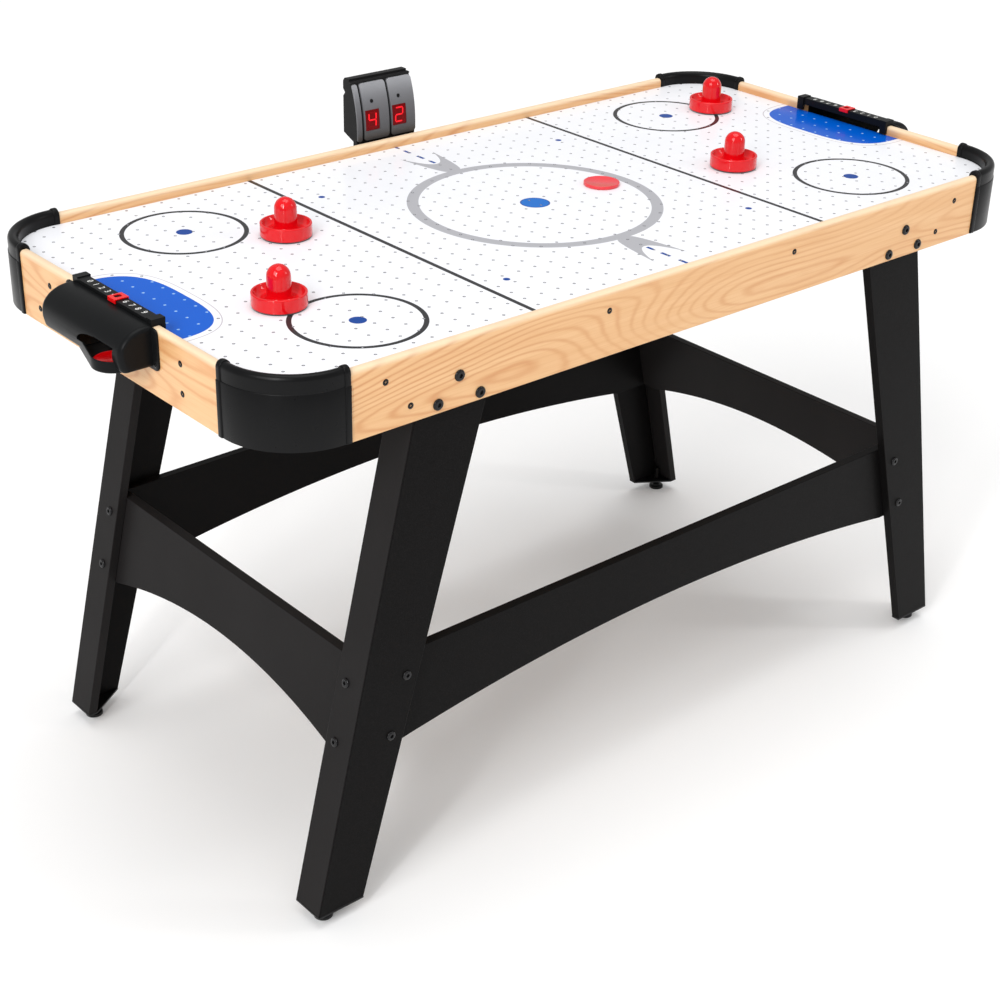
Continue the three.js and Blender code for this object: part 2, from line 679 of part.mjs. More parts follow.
// ---------------------------------------------------------------- blower
function blowerHousing(high) {
  const { radius, low, wall, inlet, motor, guard } = BLOWER;
  const lip = 12;
  const cup = solid(turned([
    [inlet, low], [radius - 4, low], [radius, low + 4], [radius, high - 3], [radius + lip, high - 3],
    [radius + lip, high], [radius - wall, high], [radius - wall, low + 5], [radius - 5, low + wall],
    [inlet, low + wall], [inlet, low],
  ], 28));
  const hub = cylinder(motor + 3, 0, 0, low, low + wall, 16);
  const reach = inlet + 2;
  const spoke = box(-reach, reach, -wall, wall, low, low + wall);
  const spokes = [0, 60, 120].map((angle) => spoke.rotate([0, 0, angle]));
  const inside = cylinder(guard - wall, 0, 0, low - 1, low + wall + 1, 16);
  const ring = cylinder(guard, 0, 0, low, low + wall, 16).subtract(inside);
  return joined([cup, hub, ...spokes, ring]);
}

function blowerImpeller(base, eye) {
  const { disc, boss, bladeIn, bladeOut, blades } = IMPELLER;
  const blade = box(bladeIn, bladeOut, -1, 1, base + 8, eye + 1);
  const bodies = [
    cylinder(disc, 0, 0, eye, eye + 2, 28),
    cylinder(boss, 0, 0, eye, eye + 12, 16),
  ];
  for (let i = 0; i < blades; i += 1) {
    bodies.push(blade.rotate([0, 0, (i * 360) / blades]));
  }
  const bore = cylinder(BLOWER.shaft + GAP, 0, 0, base, eye + 20, 12);
  return joined(bodies).subtract(bore);
}

function buildPower(high) {
  const { half, depth, y, socketX, socket, bay, rocker } = POWER;
  const axisZ = high - depth / 2;
  const block = box(-half, half, y, y + depth, high - depth, high);
  const hole = buttonRod(socket, y + 12, y + depth + 4).translate([socketX, 0, axisZ]);
  const rockerBay = box(bay[0], bay[1], y + 12, y + depth + 4, high - 21, high - 5);
  addPart('power_inlet', block.subtract(hole).subtract(rockerBay), BLACK);

  const profile = polygon([
    [-4.5, 5.5], [-4.5, -5.5], [0, -6.5], [3.6, -6.5], [2.6, 0], [4.2, 6.3], [0, 6.5],
  ]);
  const key = solid(alongX(profile, rocker[0], rocker[1])).translate([0, y + 24, axisZ]);
  addPart('power_switch', key, BLACK);
}

function buildBlower() {
  const high = PANEL_TOP - PANEL_BOARD - GAP;
  const base = BLOWER.low + BLOWER.wall + GAP;
  const { motor, shaft } = BLOWER;
  addPart('blower_housing', blowerHousing(high), BLACK);
  const can = cylinder(motor, 0, 0, base, base + 26, 24);
  addPart('blower_motor', can.add(cylinder(shaft, 0, 0, base, base + 44, 12)), STEEL);
  addPart('blower_impeller', blowerImpeller(base, base + 30), BLACK);
  buildPower(high);
}

buildChamber();
buildAprons();
buildCornerCaps();
buildLegs();
buildStretchers();
buildGoals();
buildStrikers();
buildScoreboard();
buildBlower();

export default table;
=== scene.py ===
# Air hockey table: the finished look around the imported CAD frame.
# Shapes are written in millimetres about the middle of the playfield, with z up from the floor.
import json
import math

import bmesh
import bpy
from mathutils import Matrix, Vector

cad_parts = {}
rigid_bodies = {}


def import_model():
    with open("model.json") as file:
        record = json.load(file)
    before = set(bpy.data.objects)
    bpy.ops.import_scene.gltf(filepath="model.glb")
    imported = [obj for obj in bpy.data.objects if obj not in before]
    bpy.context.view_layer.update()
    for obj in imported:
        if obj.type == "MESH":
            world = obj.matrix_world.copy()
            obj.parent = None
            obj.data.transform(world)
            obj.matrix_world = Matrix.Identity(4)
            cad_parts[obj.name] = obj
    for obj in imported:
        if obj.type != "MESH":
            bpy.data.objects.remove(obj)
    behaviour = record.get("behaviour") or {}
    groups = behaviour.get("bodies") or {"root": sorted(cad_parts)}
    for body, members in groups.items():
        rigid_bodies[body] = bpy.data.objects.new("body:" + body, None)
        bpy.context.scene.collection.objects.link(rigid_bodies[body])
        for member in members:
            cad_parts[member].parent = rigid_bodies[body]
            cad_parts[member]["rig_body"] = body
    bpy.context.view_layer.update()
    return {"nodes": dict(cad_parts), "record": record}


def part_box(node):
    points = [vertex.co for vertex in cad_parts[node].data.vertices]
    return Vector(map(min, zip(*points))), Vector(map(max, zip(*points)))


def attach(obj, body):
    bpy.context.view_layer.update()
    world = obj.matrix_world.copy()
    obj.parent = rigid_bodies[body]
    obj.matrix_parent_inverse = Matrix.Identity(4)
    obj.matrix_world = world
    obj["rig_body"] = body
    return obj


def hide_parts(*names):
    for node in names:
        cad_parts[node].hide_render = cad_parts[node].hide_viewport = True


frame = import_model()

SLOTS = {row["node"]: row["material_slot"] for row in frame["record"]["subparts"]}
MM = 0.001
TAU = 2 * math.pi

FIELD_LOW, FIELD_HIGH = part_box("playfield")
CENTRE_Y = (FIELD_LOW.y + FIELD_HIGH.y) / 2


def span(node):
    """A CAD node's lowest and highest corners, in millimetres about the playfield's middle."""
    shift = Vector((0, CENTRE_Y, 0))
    return [(corner - shift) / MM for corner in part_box(node)]


FIELD_X, FIELD_Y, FIELD_TOP = span("playfield")[1]
APRON_LOW = span("front_apron")[0].z
RAIL_TOP = span("front_apron")[1].z
OUTER_Y = -span("front_apron")[0].y
OUTER_X = span("right_end_apron")[1].x
BOARD = OUTER_X - span("right_end_apron")[0].x
CORNERS = (("front_left", -1, -1), ("front_right", 1, -1), ("back_left", -1, 1), ("back_right", 1, 1))
ENDS = (("left", -1), ("right", 1))
SIDES = (("front", -1), ("back", 1))
HOLE_PITCH_X, HOLE_PITCH_Y = 30.24, 27.2
HOLE_COLUMNS, HOLE_ROWS = 23, 12
HOLE_RADIUS, HOLE_MARGIN = 1.15, 10
# Clearance between parts, how near welded points lie, and how many sides a fine round part has.
GAP, WELD, FINE = 0.3, 0.0005, 96


# ---- node sums
# Where a mix node keeps its colour sockets.
MIX_BELOW, MIX_ABOVE, MIX_RESULT = 6, 7, 2


class Sum:
    """A number in a material's node tree, so that a pattern is written as a sum."""

    def __init__(self, tree, socket):
        self.tree = tree
        self.socket = socket

    def math(self, operation, *others, clamp=False):
        node = self.tree.nodes.new("ShaderNodeMath")
        node.operation = operation
        node.use_clamp = clamp
        for i, value in enumerate((self, *others)):
            if isinstance(value, Sum):
                self.tree.links.new(value.socket, node.inputs[i])
            else:
                node.inputs[i].default_value = value
        return Sum(self.tree, node.outputs[0])

    def __add__(self, other):
        return self.math("ADD", other)

    def __sub__(self, other):
        return self.math("SUBTRACT", other)

    def __mul__(self, other):
        return self.math("MULTIPLY", other)

    def __truediv__(self, other):
        return self.math("DIVIDE", other)

    def __pow__(self, other):
        return self.math("POWER", other)

    def __abs__(self):
        return self.math("ABSOLUTE")

    def clamped(self):
        return self.math("ADD", 0, clamp=True)

    def below(self, other, blur=0.0004):
        """1 where this is less than other, with a soft edge of blur."""
        gap = (self * -1) + other
        return (gap / blur).math("ADD", 0.5, clamp=True)

    def both(self, other):
        return self.math("MINIMUM", other)

    def either(self, other):
        return self.math("MAXIMUM", other)


def hypot(a, b):
    return (a * a + b * b) ** 0.5


class Finish:
    """A material with a principled shader, and the nodes that its pattern is made of."""

    def __init__(self, name, color, roughness, **values):
        self.material = bpy.data.materials.new(name)
        self.material.use_nodes = True
        self.tree = self.material.node_tree
        self.shader = self.tree.nodes["Principled BSDF"]
        self.material.diffuse_color = (*color, 1)
        self.shader.inputs["Base Color"].default_value = (*color, 1)
        self.shader.inputs["Roughness"].default_value = roughness
        for key, value in values.items():
            self.shader.inputs[key.replace("_", " ")].default_value = value
        coordinates = self.tree.nodes.new("ShaderNodeTexCoord")
        self.place = coordinates.outputs["Object"]
        parts = self.node("ShaderNodeSeparateXYZ", Vector=self.place)
        self.x, self.y, self.z = (Sum(self.tree, out) for out in parts.outputs)

    def feed(self, socket, value):
        """Links a sum or a socket to an input, or sets the input to a number or a colour."""
        if isinstance(value, Sum):
            value = value.socket
        if isinstance(value, bpy.types.NodeSocket):
            self.tree.links.new(value, socket)
        else:
            socket.default_value = (*value, 1) if isinstance(value, tuple) else value

    def node(self, kind, **inputs):
        node = self.tree.nodes.new(kind)
        for key, value in inputs.items():
            self.feed(node.inputs[key], value)
        return node

    def vector(self, x, y, z):
        return self.node("ShaderNodeCombineXYZ", X=x, Y=y, Z=z).outputs[0]

    def noise(self, place, scale, detail, roughness=0.5):
        node = self.node("ShaderNodeTexNoise", Vector=place, Scale=scale, Detail=detail,
                         Roughness=roughness)
        return Sum(self.tree, node.outputs["Fac"])

    def mix(self, amount, below, above):
        """The colour below, going to the colour above as amount goes from 0 to 1."""
        node = self.tree.nodes.new("ShaderNodeMix")
        node.data_type = "RGBA"
        for key, value in (("Factor", amount), (MIX_BELOW, below), (MIX_ABOVE, above)):
            self.feed(node.inputs[key], value)
        return node.outputs[MIX_RESULT]

    def color(self, socket):
        self.feed(self.shader.inputs["Base Color"], socket)

    def rough(self, amount):
        self.feed(self.shader.inputs["Roughness"], amount)

    def bump(self, height, distance):
        node = self.node("ShaderNodeBump", Height=height, Distance=distance, Strength=1.0)
        self.feed(self.shader.inputs["Normal"], node.outputs["Normal"])


def rgb(red, green, blue):
    """A colour given as it looks on a screen, 0 to 255, in the linear light that shaders use."""
    return tuple(((v / 255 + 0.055) / 1.055) ** 2.4 if v > 10 else v / 255 / 12.92
                 for v in (red, green, blue))


# ---- finishes
def printed_field():
    """White laminate with the rink markings printed on it, placed in metres from its middle."""
    m = Finish("printed_laminate", rgb(244, 245, 249), 0.2, Coat_Weight=0.05, Coat_Roughness=0.05,
               Specular_IOR_Level=0.09)
    x, y = m.x, m.y
    ax, ay = abs(x), abs(y)
    grey, line = rgb(178, 178, 183), rgb(52, 52, 54)
    blue, ink = rgb(0, 92, 204), rgb(6, 66, 150)
    tint = m.noise(m.place, 9, 3)
    white = m.mix(tint, rgb(240, 241, 246), rgb(248, 249, 252))

    ring_radius, tail_start, notch_start, tail_end = 0.1876, 0.196, 0.239, 0.294
    centre = hypot(x, y)
    ring = abs(centre - ring_radius).below(0.009)
    # Whale tails on the ring: edges that flare out, with a notch between the two tips.
    along = ((ay - tail_start) / (tail_end - tail_start)).clamped()
    flare = ax.below(along ** 0.55 * 0.022 + 0.012)
    open_end = ((ay - notch_start) / (tail_end - notch_start)).clamped()
    notch = ax.below(open_end ** 0.5 * 0.034).both((ay * -1).below(-notch_start))
    tail = flare.both((ay * -1).below(-ring_radius - 0.0024)).both(ay.below(tail_end))
    tail = tail * (notch * -1 + 1)
    result = m.mix(ring.either(tail), white, grey)

    spot_x, spot_y, spot_radius, zone_x = 0.495, 0.21, 0.0897, 0.29
    spot = hypot(ax - spot_x, ay - spot_y)
    spot_ring = abs(spot - spot_radius).below(0.0036)
    zone = abs(ax - zone_x).below(0.0038)
    result = m.mix(spot_ring.either(zone), result, line)

    dashes = None
    for start, end in ((0.244, 0.257), (0.273, 0.291), (0.309, 0.326), (0.342, 0.36)):
        dash = abs(ay - (start + end) / 2).below((end - start) / 2)
        dashes = dash if dashes is None else dashes.either(dash)
    dots = spot.below(0.012).either(hypot(ax - 0.245, ay - 0.217).below(0.0052))
    result = m.mix(dots.either(dashes.both(ax.below(0.0028))), result, ink)
    result = m.mix(centre.below(0.0232), result, ink)
    result = m.mix(centre.below(0.0214), result, rgb(0, 108, 200))

    # Goal crease: a squarish half oval against the end rail, with a fine outline outside it.
    rail_x, square = 0.7215, 3.1
    depth = abs(ax - rail_x)
    outline = ((ay / 0.135) ** square + (depth / 0.105) ** square) ** (1 / square)
    crease = (ay / 0.125) ** square + (depth / 0.0955) ** square
    result = m.mix(abs(outline - 1).below(0.006, 0.004), result, rgb(196, 190, 196))
    goal = crease.below(1, 0.01)
    result = m.mix(goal, result, blue)

    # Around each air hole a ring is painted: painted shade, grey, on the white print, and painted light, pale
    # blue, on the blue crease, for the shaded and lit walls of the hole.
    half_x, half_y = HOLE_PITCH_X * MM / 2, HOLE_PITCH_Y * MM / 2
    off_x = x.math("WRAP", half_x, -half_x)
    off_y = (y + half_y).math("WRAP", half_y, -half_y)
    painted_hole_shade = hypot(off_x, off_y).below(0.0022, 0.0006)
    result = m.mix(painted_hole_shade * 0.95, result, m.mix(goal, rgb(84, 85, 92), rgb(130, 190, 255)))
    m.color(result)
    m.rough(m.noise(m.place, 40, 3) * 0.1 + 0.15)
    m.bump(m.noise(m.place, 160, 2), 0.00004)
    return m.material


def maple(name, along, across, depth, seed):
    """Printed maple: contour lines of a field drawn out along the board, so that arches show."""
    m = Finish(name, rgb(240, 196, 140), 0.36, Coat_Weight=0.15, Coat_Roughness=0.2)
    u, v, w = (getattr(m, axis) for axis in (along, across, depth))
    side = v + abs(w) * 0.35
    broad = m.noise(m.vector(u * 1.5 + seed, side * 8.5, seed), 1.0, 1.0, 0.3)
    ripple = m.noise(m.vector(u * 16, side * 60, seed + 4.1), 1.0, 2.0)
    contours = 190
    wave = ((broad + ripple * 0.014) * contours).math("SINE") * 0.5 + 0.5
    patch = m.noise(m.vector(u * 2.3 + seed, side * 9, 5.0), 1.0, 2.0)
    strength = ((patch - 0.3) * 2.2).clamped()
    fine = m.noise(m.vector(u * 11, side * 520, w * 520), 1.0, 4.0, 0.6)
    streak = m.noise(m.vector(u * 3.5, side * 95, seed), 1.0, 3.0, 0.6)
    pale = m.mix(streak, rgb(244, 200, 148), rgb(228, 172, 115))
    banded = m.mix(wave ** 3.6 * (strength * 0.6 + 0.12), pale, rgb(206, 130, 70))
    grain = m.mix(((fine - 0.5) * 2.4).clamped() * 0.5, banded, rgb(206, 138, 80))
    # Painted light: the rounded top edge of the board is mixed towards a pale cream, for the light that falls
    # on it from above.
    painted_top_low, painted_top_high = 0.8425, 0.8485
    painted_top_light = ((m.z - painted_top_low) / (painted_top_high - painted_top_low)).clamped()
    m.color(m.mix(painted_top_light * 0.62, grain, rgb(254, 238, 208)))
    m.rough(fine * 0.12 + 0.32)
    m.bump(fine + wave * 0.3, 0.00005)
    return m.material


def moulded(name, color, roughness, grain=0.00004, scale=900, **values):
    """Moulded plastic with a fine spark-eroded grain and slight changes of sheen."""
    m = Finish(name, color, roughness, **values)
    cloud = m.noise(m.place, 14, 3)
    m.color(m.mix(cloud, color, tuple(c * 1.22 + 0.0015 for c in color)))
    m.rough(m.noise(m.place, 60, 3) * 0.14 + (roughness - 0.07))
    m.bump(m.noise(m.place, scale, 2), grain)
    return m.material


def glossy_red(name, color, deep, roughness=0.1):
    m = Finish(name, color, roughness, Coat_Weight=0.35, Coat_Roughness=0.04, Specular_IOR_Level=0.3,
               Subsurface_Weight=0.08, Subsurface_Radius=(0.01, 0.002, 0.001))
    cloud = m.noise(m.place, 22, 2)
    m.color(m.mix(cloud, color, deep))
    scratches = m.noise(m.vector(m.x * 60, m.y * 900, m.z * 60), 1.0, 3)
    m.rough(scratches * 0.1 + (roughness - 0.04))
    m.bump(m.noise(m.place, 260, 2), 0.00002)
    return m.material


def laminate(name, lift):
    """Black foil over the leg boards, with short pores pressed into it; lift scales its colour as painted
    light and shade.
    """
    m = Finish(name, rgb(15, 14, 14), 0.42, Specular_IOR_Level=0.05)
    pores = m.noise(m.vector(m.x * 700, m.y * 700, m.z * 120), 1.0, 3, 0.6)
    cloud = m.noise(m.place, 6, 4)
    speck = m.noise(m.place, 1500, 1)
    # Painted light and shade: lift makes the foil lighter on the end boards and darker on the side boards.
    dark, light = (tuple(c * lift for c in rgb(v, v - 1, v - 1)) for v in (12, 19))
    base = m.mix(cloud, dark, light)
    m.color(m.mix(speck ** 4.0 * 1.6, base, rgb(46, 44, 44)))
    m.rough(pores * 0.2 + 0.3)
    m.bump(pores, 0.00012)
    return m.material


def felt():
    m = Finish("black_felt", rgb(26, 26, 28), 0.95, Sheen_Weight=0.6, Sheen_Roughness=0.6)
    fibres = m.noise(m.place, 1400, 5, 0.7)
    m.color(m.mix(fibres, rgb(16, 16, 18), rgb(52, 52, 56)))
    m.bump(fibres, 0.0005)
    return m.material


def fibreboard():
    m = Finish("fibreboard", rgb(150, 116, 80), 0.85)
    fibre = m.noise(m.place, 700, 5, 0.7)
    patch = m.noise(m.place, 12, 3)
    base = m.mix(patch, rgb(146, 112, 78), rgb(168, 134, 96))
    m.color(m.mix(fibre ** 2.0, base, rgb(92, 66, 42)))
    m.bump(fibre, 0.0002)
    return m.material


def painted_grey():
    """Metallic paint of the scoreboard front, darker towards its foot as painted reflection and shade."""
    m = Finish("metallic_grey", rgb(120, 121, 124), 0.34, Metallic=0.35)
    low, high = (c.z * MM for c in span("scoreboard_face"))
    up = ((m.z - low) / (high - low)).clamped()
    flake = m.noise(m.place, 2600, 1)
    # Painted reflection and shade: the grey runs from pale at the top of the curled front to near black at
    # its foot.
    painted_shade = m.mix(up ** 1.4, rgb(24, 25, 28), rgb(138, 139, 143))
    m.color(m.mix(flake * 0.2, painted_shade, rgb(205, 206, 210)))
    m.rough(m.noise(m.place, 90, 3) * 0.12 + 0.3)
    m.bump(m.noise(m.place, 1200, 2), 0.00003)
    return m.material


def steel():
    m = Finish("brushed_steel", (0.55, 0.55, 0.56), 0.3, Metallic=1.0)
    brush = m.noise(m.vector(m.x * 90, m.y * 90, m.z * 2200), 1.0, 3)
    m.color(m.mix(brush, (0.42, 0.42, 0.43), (0.66, 0.66, 0.67)))
    m.rough(brush * 0.2 + 0.22)
    m.bump(brush, 0.00003)
    return m.material


def circuit():
    m = Finish("circuit_board", rgb(20, 90, 52), 0.3, Coat_Weight=0.4)
    tracks = abs((m.x * 900).math("SINE")).below(0.3, 0.1)
    m.color(m.mix(tracks * 0.5, rgb(16, 82, 46), rgb(60, 140, 84)))
    m.bump(tracks, 0.00004)
    return m.material


def glowing(name, color, strength):
    m = Finish(name, color, 0.3, Specular_IOR_Level=0.1)
    m.shader.inputs["Emission Strength"].default_value = strength
    glow = m.noise(m.place, 500, 2)
    mixed = m.mix(glow * 0.5, color, tuple(c * 1.15 for c in color))
    m.feed(m.shader.inputs["Emission Color"], mixed)
    m.color(mixed)
    return m.material


def white_ink():
    m = Finish("white_ink", rgb(240, 240, 236), 0.4)
    m.color(m.mix(m.noise(m.place, 300, 3), rgb(228, 228, 224), rgb(250, 250, 247)))
    m.bump(m.noise(m.place, 900, 2), 0.00003)
    return m.material


FIELD_PRINT = printed_field()
CORE_WHITE = moulded("laminate_core", rgb(214, 214, 216), 0.5)
MAPLE_X = [maple("maple_front", "x", "z", "y", 3.7), maple("maple_back", "x", "z", "y", 12.9)]
MAPLE_Y = [maple("maple_left_end", "y", "z", "x", 21.4), maple("maple_right_end", "y", "z", "x", 33.1)]
CAP_BLACK = moulded("satin_black", rgb(12, 12, 13), 0.3, 0.00005, 1100, Specular_IOR_Level=0.14)
GOAL_BLACK = moulded("goal_black", rgb(16, 17, 18), 0.32, 0.00006, 900, Specular_IOR_Level=0.1)
SCORER_BLACK = moulded("scorer_black", rgb(14, 14, 15), 0.42, 0.0001, 1300, Specular_IOR_Level=0.15)
BLOWER_BLACK = moulded("blower_black", rgb(30, 30, 32), 0.5, 0.0001, 800, Specular_IOR_Level=0.3)
FOOT_BLACK = moulded("foot_black", rgb(15, 15, 16), 0.42, Specular_IOR_Level=0.3)
# Lit and shaded copies of one foil: painted shade on the side boards and long stretchers, painted light on
# the end boards and end stretchers.
SHADED_LEG_BLACK = laminate("leg_foil_painted_shade", 0.6)
LIT_END_BLACK = laminate("end_foil_painted_light", 3.2)
SCREW_BLACK = moulded("black_oxide", rgb(30, 30, 31), 0.24, 0.00003, 1500, Metallic=0.6)
STRIKER_RED = glossy_red("striker_red", rgb(236, 8, 20), rgb(216, 5, 18))
PUCK_RED = glossy_red("puck_red", rgb(240, 66, 74), rgb(232, 54, 64), 0.28)
BRIGHT_RED = glossy_red("bright_red", rgb(248, 8, 14), rgb(226, 5, 12), 0.22)
FELT = felt()
RAW_BOARD = fibreboard()
FACE_GREY = painted_grey()
STEEL = steel()
CIRCUIT = circuit()
DISPLAY_RED = glowing("display_glass", (0.08, 0.0004, 0.001), 1.0)
LIT_RED = glowing("lit_segment", (0.55, 0.008, 0.013), 1.6)
DIM_RED = glowing("dim_segment", (0.105, 0.0006, 0.0015), 1.0)
WHITE_INK = white_ink()


# ---- mesh making
def linked(name, data):
    """A new object in the scene."""
    obj = bpy.data.objects.new(name, data)
    bpy.context.scene.collection.objects.link(obj)
    return obj


def mesh_of(name, bm):
    mesh = bpy.data.meshes.new(name)
    bm.to_mesh(mesh)
    bm.free()
    return mesh


def evaluated(obj):
    """The mesh that an object's modifiers or curves give."""
    bpy.context.view_layer.update()
    bm = bmesh.new()
    bm.from_mesh(obj.evaluated_get(bpy.context.evaluated_depsgraph_get()).to_mesh())
    return bm


def joined(*bodies):
    """One bmesh holding all of these."""
    total = bmesh.new()
    for body in bodies:
        mesh = mesh_of("part", body)
        total.from_mesh(mesh)
        bpy.data.meshes.remove(mesh)
    return total


def moved(bm, matrix):
    bmesh.ops.transform(bm, matrix=matrix, verts=bm.verts)
    if matrix.determinant() < 0:
        bmesh.ops.reverse_faces(bm, faces=bm.faces)
    return bm


def shifted(bm, x, y, z=0):
    return moved(bm, Matrix.Translation((x, y, z)))


def mirrored(bm, sx, sy):
    return moved(bm, Matrix.Diagonal((sx, sy, 1, 1)))


def lofted(rings, cap_start=True, cap_end=True):
    """Rings of equally many points, joined one to the next; a ring of one point is a tip."""
    bm = bmesh.new()
    made = [[bm.verts.new(point) for point in ring] for ring in rings]
    for a, b in zip(made, made[1:]):
        n, m = len(a), len(b)
        for i in range(max(n, m)):
            j = (i + 1) % max(n, m)
            bm.faces.new(dict.fromkeys([a[i % n], a[j % n], b[j % m], b[i % m]]))
    if cap_start and len(rings[0]) > 2:
        bm.faces.new(made[0][::-1])
    if cap_end and len(rings[-1]) > 2:
        bm.faces.new(made[-1])
    return bm


def turned(profile, steps):
    """A ring about Z for each (radius, z) point; radius 0 is a tip."""
    return [[(r * math.cos(TAU * i / steps), r * math.sin(TAU * i / steps), z) for i in range(steps)]
            if r > 1e-6 else [(0, 0, z)] for r, z in profile]


def lathe(profile, steps):
    """A profile of (radius, z) points turned about Z."""
    closed = profile[0] == profile[-1]
    return lofted(turned(profile, steps), not closed, not closed)


def arc(a, b, radius, start, end, count):
    """Points on a circle about (a, b), from start to end in degrees."""
    points = []
    for i in range(count + 1):
        angle = math.radians(start + (end - start) * i / count)
        points.append((a + radius * math.cos(angle), b + radius * math.sin(angle)))
    return points


def circle(a, b, radius, count=32):
    return arc(a, b, radius, 0, 360, count)[:-1]


def prism(outline, low, high, axis="z"):
    """An outline drawn along an axis: (x, y) along z, (y, z) along x, or (x, z) along y."""
    place = {
        "x": lambda a, b, t: (t, a, b),
        "y": lambda a, b, t: (a, t, b),
        "z": lambda a, b, t: (a, b, t),
    }[axis]
    return lofted([[place(a, b, t) for a, b in outline] for t in (low, high)])


def slab(x0, x1, y0, y1, z0, z1):
    return prism([(x0, y0), (x1, y0), (x1, y1), (x0, y1)], z0, z1)


def rounded(x0, x1, y0, y1, r, count=8):
    """The outline of a rectangle with rounded corners."""
    return (arc(x1 - r, y0 + r, r, -90, 0, count) + arc(x1 - r, y1 - r, r, 0, 90, count)
            + arc(x0 + r, y1 - r, r, 90, 180, count) + arc(x0 + r, y0 + r, r, 180, 270, count))


def thickened(bm, back):
    """Closes an open sheet: back(point) says where each point's other side lies."""
    front = list(bm.faces)
    rim = [e for e in bm.edges if len(e.link_faces) == 1]
    twin = {v: bm.verts.new(back(v.co)) for v in list(bm.verts)}
    for face in front:
        bm.faces.new([twin[v] for v in reversed(face.verts)])
    for edge in rim:
        a, b = edge.verts
        bm.faces.new([a, b, twin[b], twin[a]])
    return bm


def filled(outlines):
    """A flat sheet at z = 0 inside the first outline and outside the others."""
    bm = bmesh.new()
    edges = []
    for outline in outlines:
        verts = [bm.verts.new((a, b, 0)) for a, b in outline]
        edges += [bm.edges.new((verts[i - 1], verts[i])) for i in range(len(verts))]
    bmesh.ops.triangle_fill(bm, use_beauty=True, use_dissolve=False, edges=edges)
    return bm


def boolean(body, tool, operation):
    """body with tool cut out of it or joined to it."""
    objects = []
    for bm in (body, tool):
        bmesh.ops.recalc_face_normals(bm, faces=bm.faces)
        objects.append(linked("boolean", mesh_of("boolean", bm)))
    modifier = objects[0].modifiers.new("boolean", "BOOLEAN")
    modifier.operation = operation
    modifier.solver = "EXACT"
    modifier.object = objects[1]
    result = evaluated(objects[0])
    for obj in objects:
        mesh = obj.data
        bpy.data.objects.remove(obj)
        bpy.data.meshes.remove(mesh)
    return result


def cut(body, *tools):
    for tool in tools:
        body = boolean(body, tool, "DIFFERENCE")
    return body


def fused(body, *tools):
    for tool in tools:
        body = boolean(body, tool, "UNION")
    return body


def piece(name, bm, material, slot, body="table", replaces=None, bevel=0.0, segments=2, sharp=34):
    """Puts a shape into the scene as an object that rides on a CAD body."""
    bmesh.ops.remove_doubles(bm, verts=bm.verts, dist=WELD)
    bmesh.ops.dissolve_degenerate(bm, edges=bm.edges, dist=WELD)
    bmesh.ops.recalc_face_normals(bm, faces=bm.faces)
    bmesh.ops.transform(bm, matrix=Matrix.Scale(MM, 4), verts=bm.verts)
    for face in bm.faces:
        face.smooth = True
    for edge in bm.edges:
        if len(edge.link_faces) == 2:
            edge.smooth = edge.calc_face_angle() < math.radians(sharp)
    mesh = mesh_of(name, bm)
    for each in material if isinstance(material, list) else [material]:
        mesh.materials.append(each)
    obj = linked(name, mesh)
    obj.location = (0, CENTRE_Y, 0)
    if bevel:
        modifier = obj.modifiers.new("edges", "BEVEL")
        modifier.width = bevel * MM
        modifier.segments = segments
        modifier.limit_method = "ANGLE"
        modifier.angle_limit = math.radians(sharp)
        modifier.harden_normals = True
    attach(obj, body)
    if replaces:
        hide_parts(replaces)
    return obj


def skin(node, bm, material, **options):
    """A finely made shape in place of a CAD node, on its body."""
    body = frame["nodes"][node]["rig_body"]
    return piece(f"{node}_skin", bm, material, SLOTS[node], body, replaces=node, **options)


# ---- playfield
FIELD_CORNER = 90


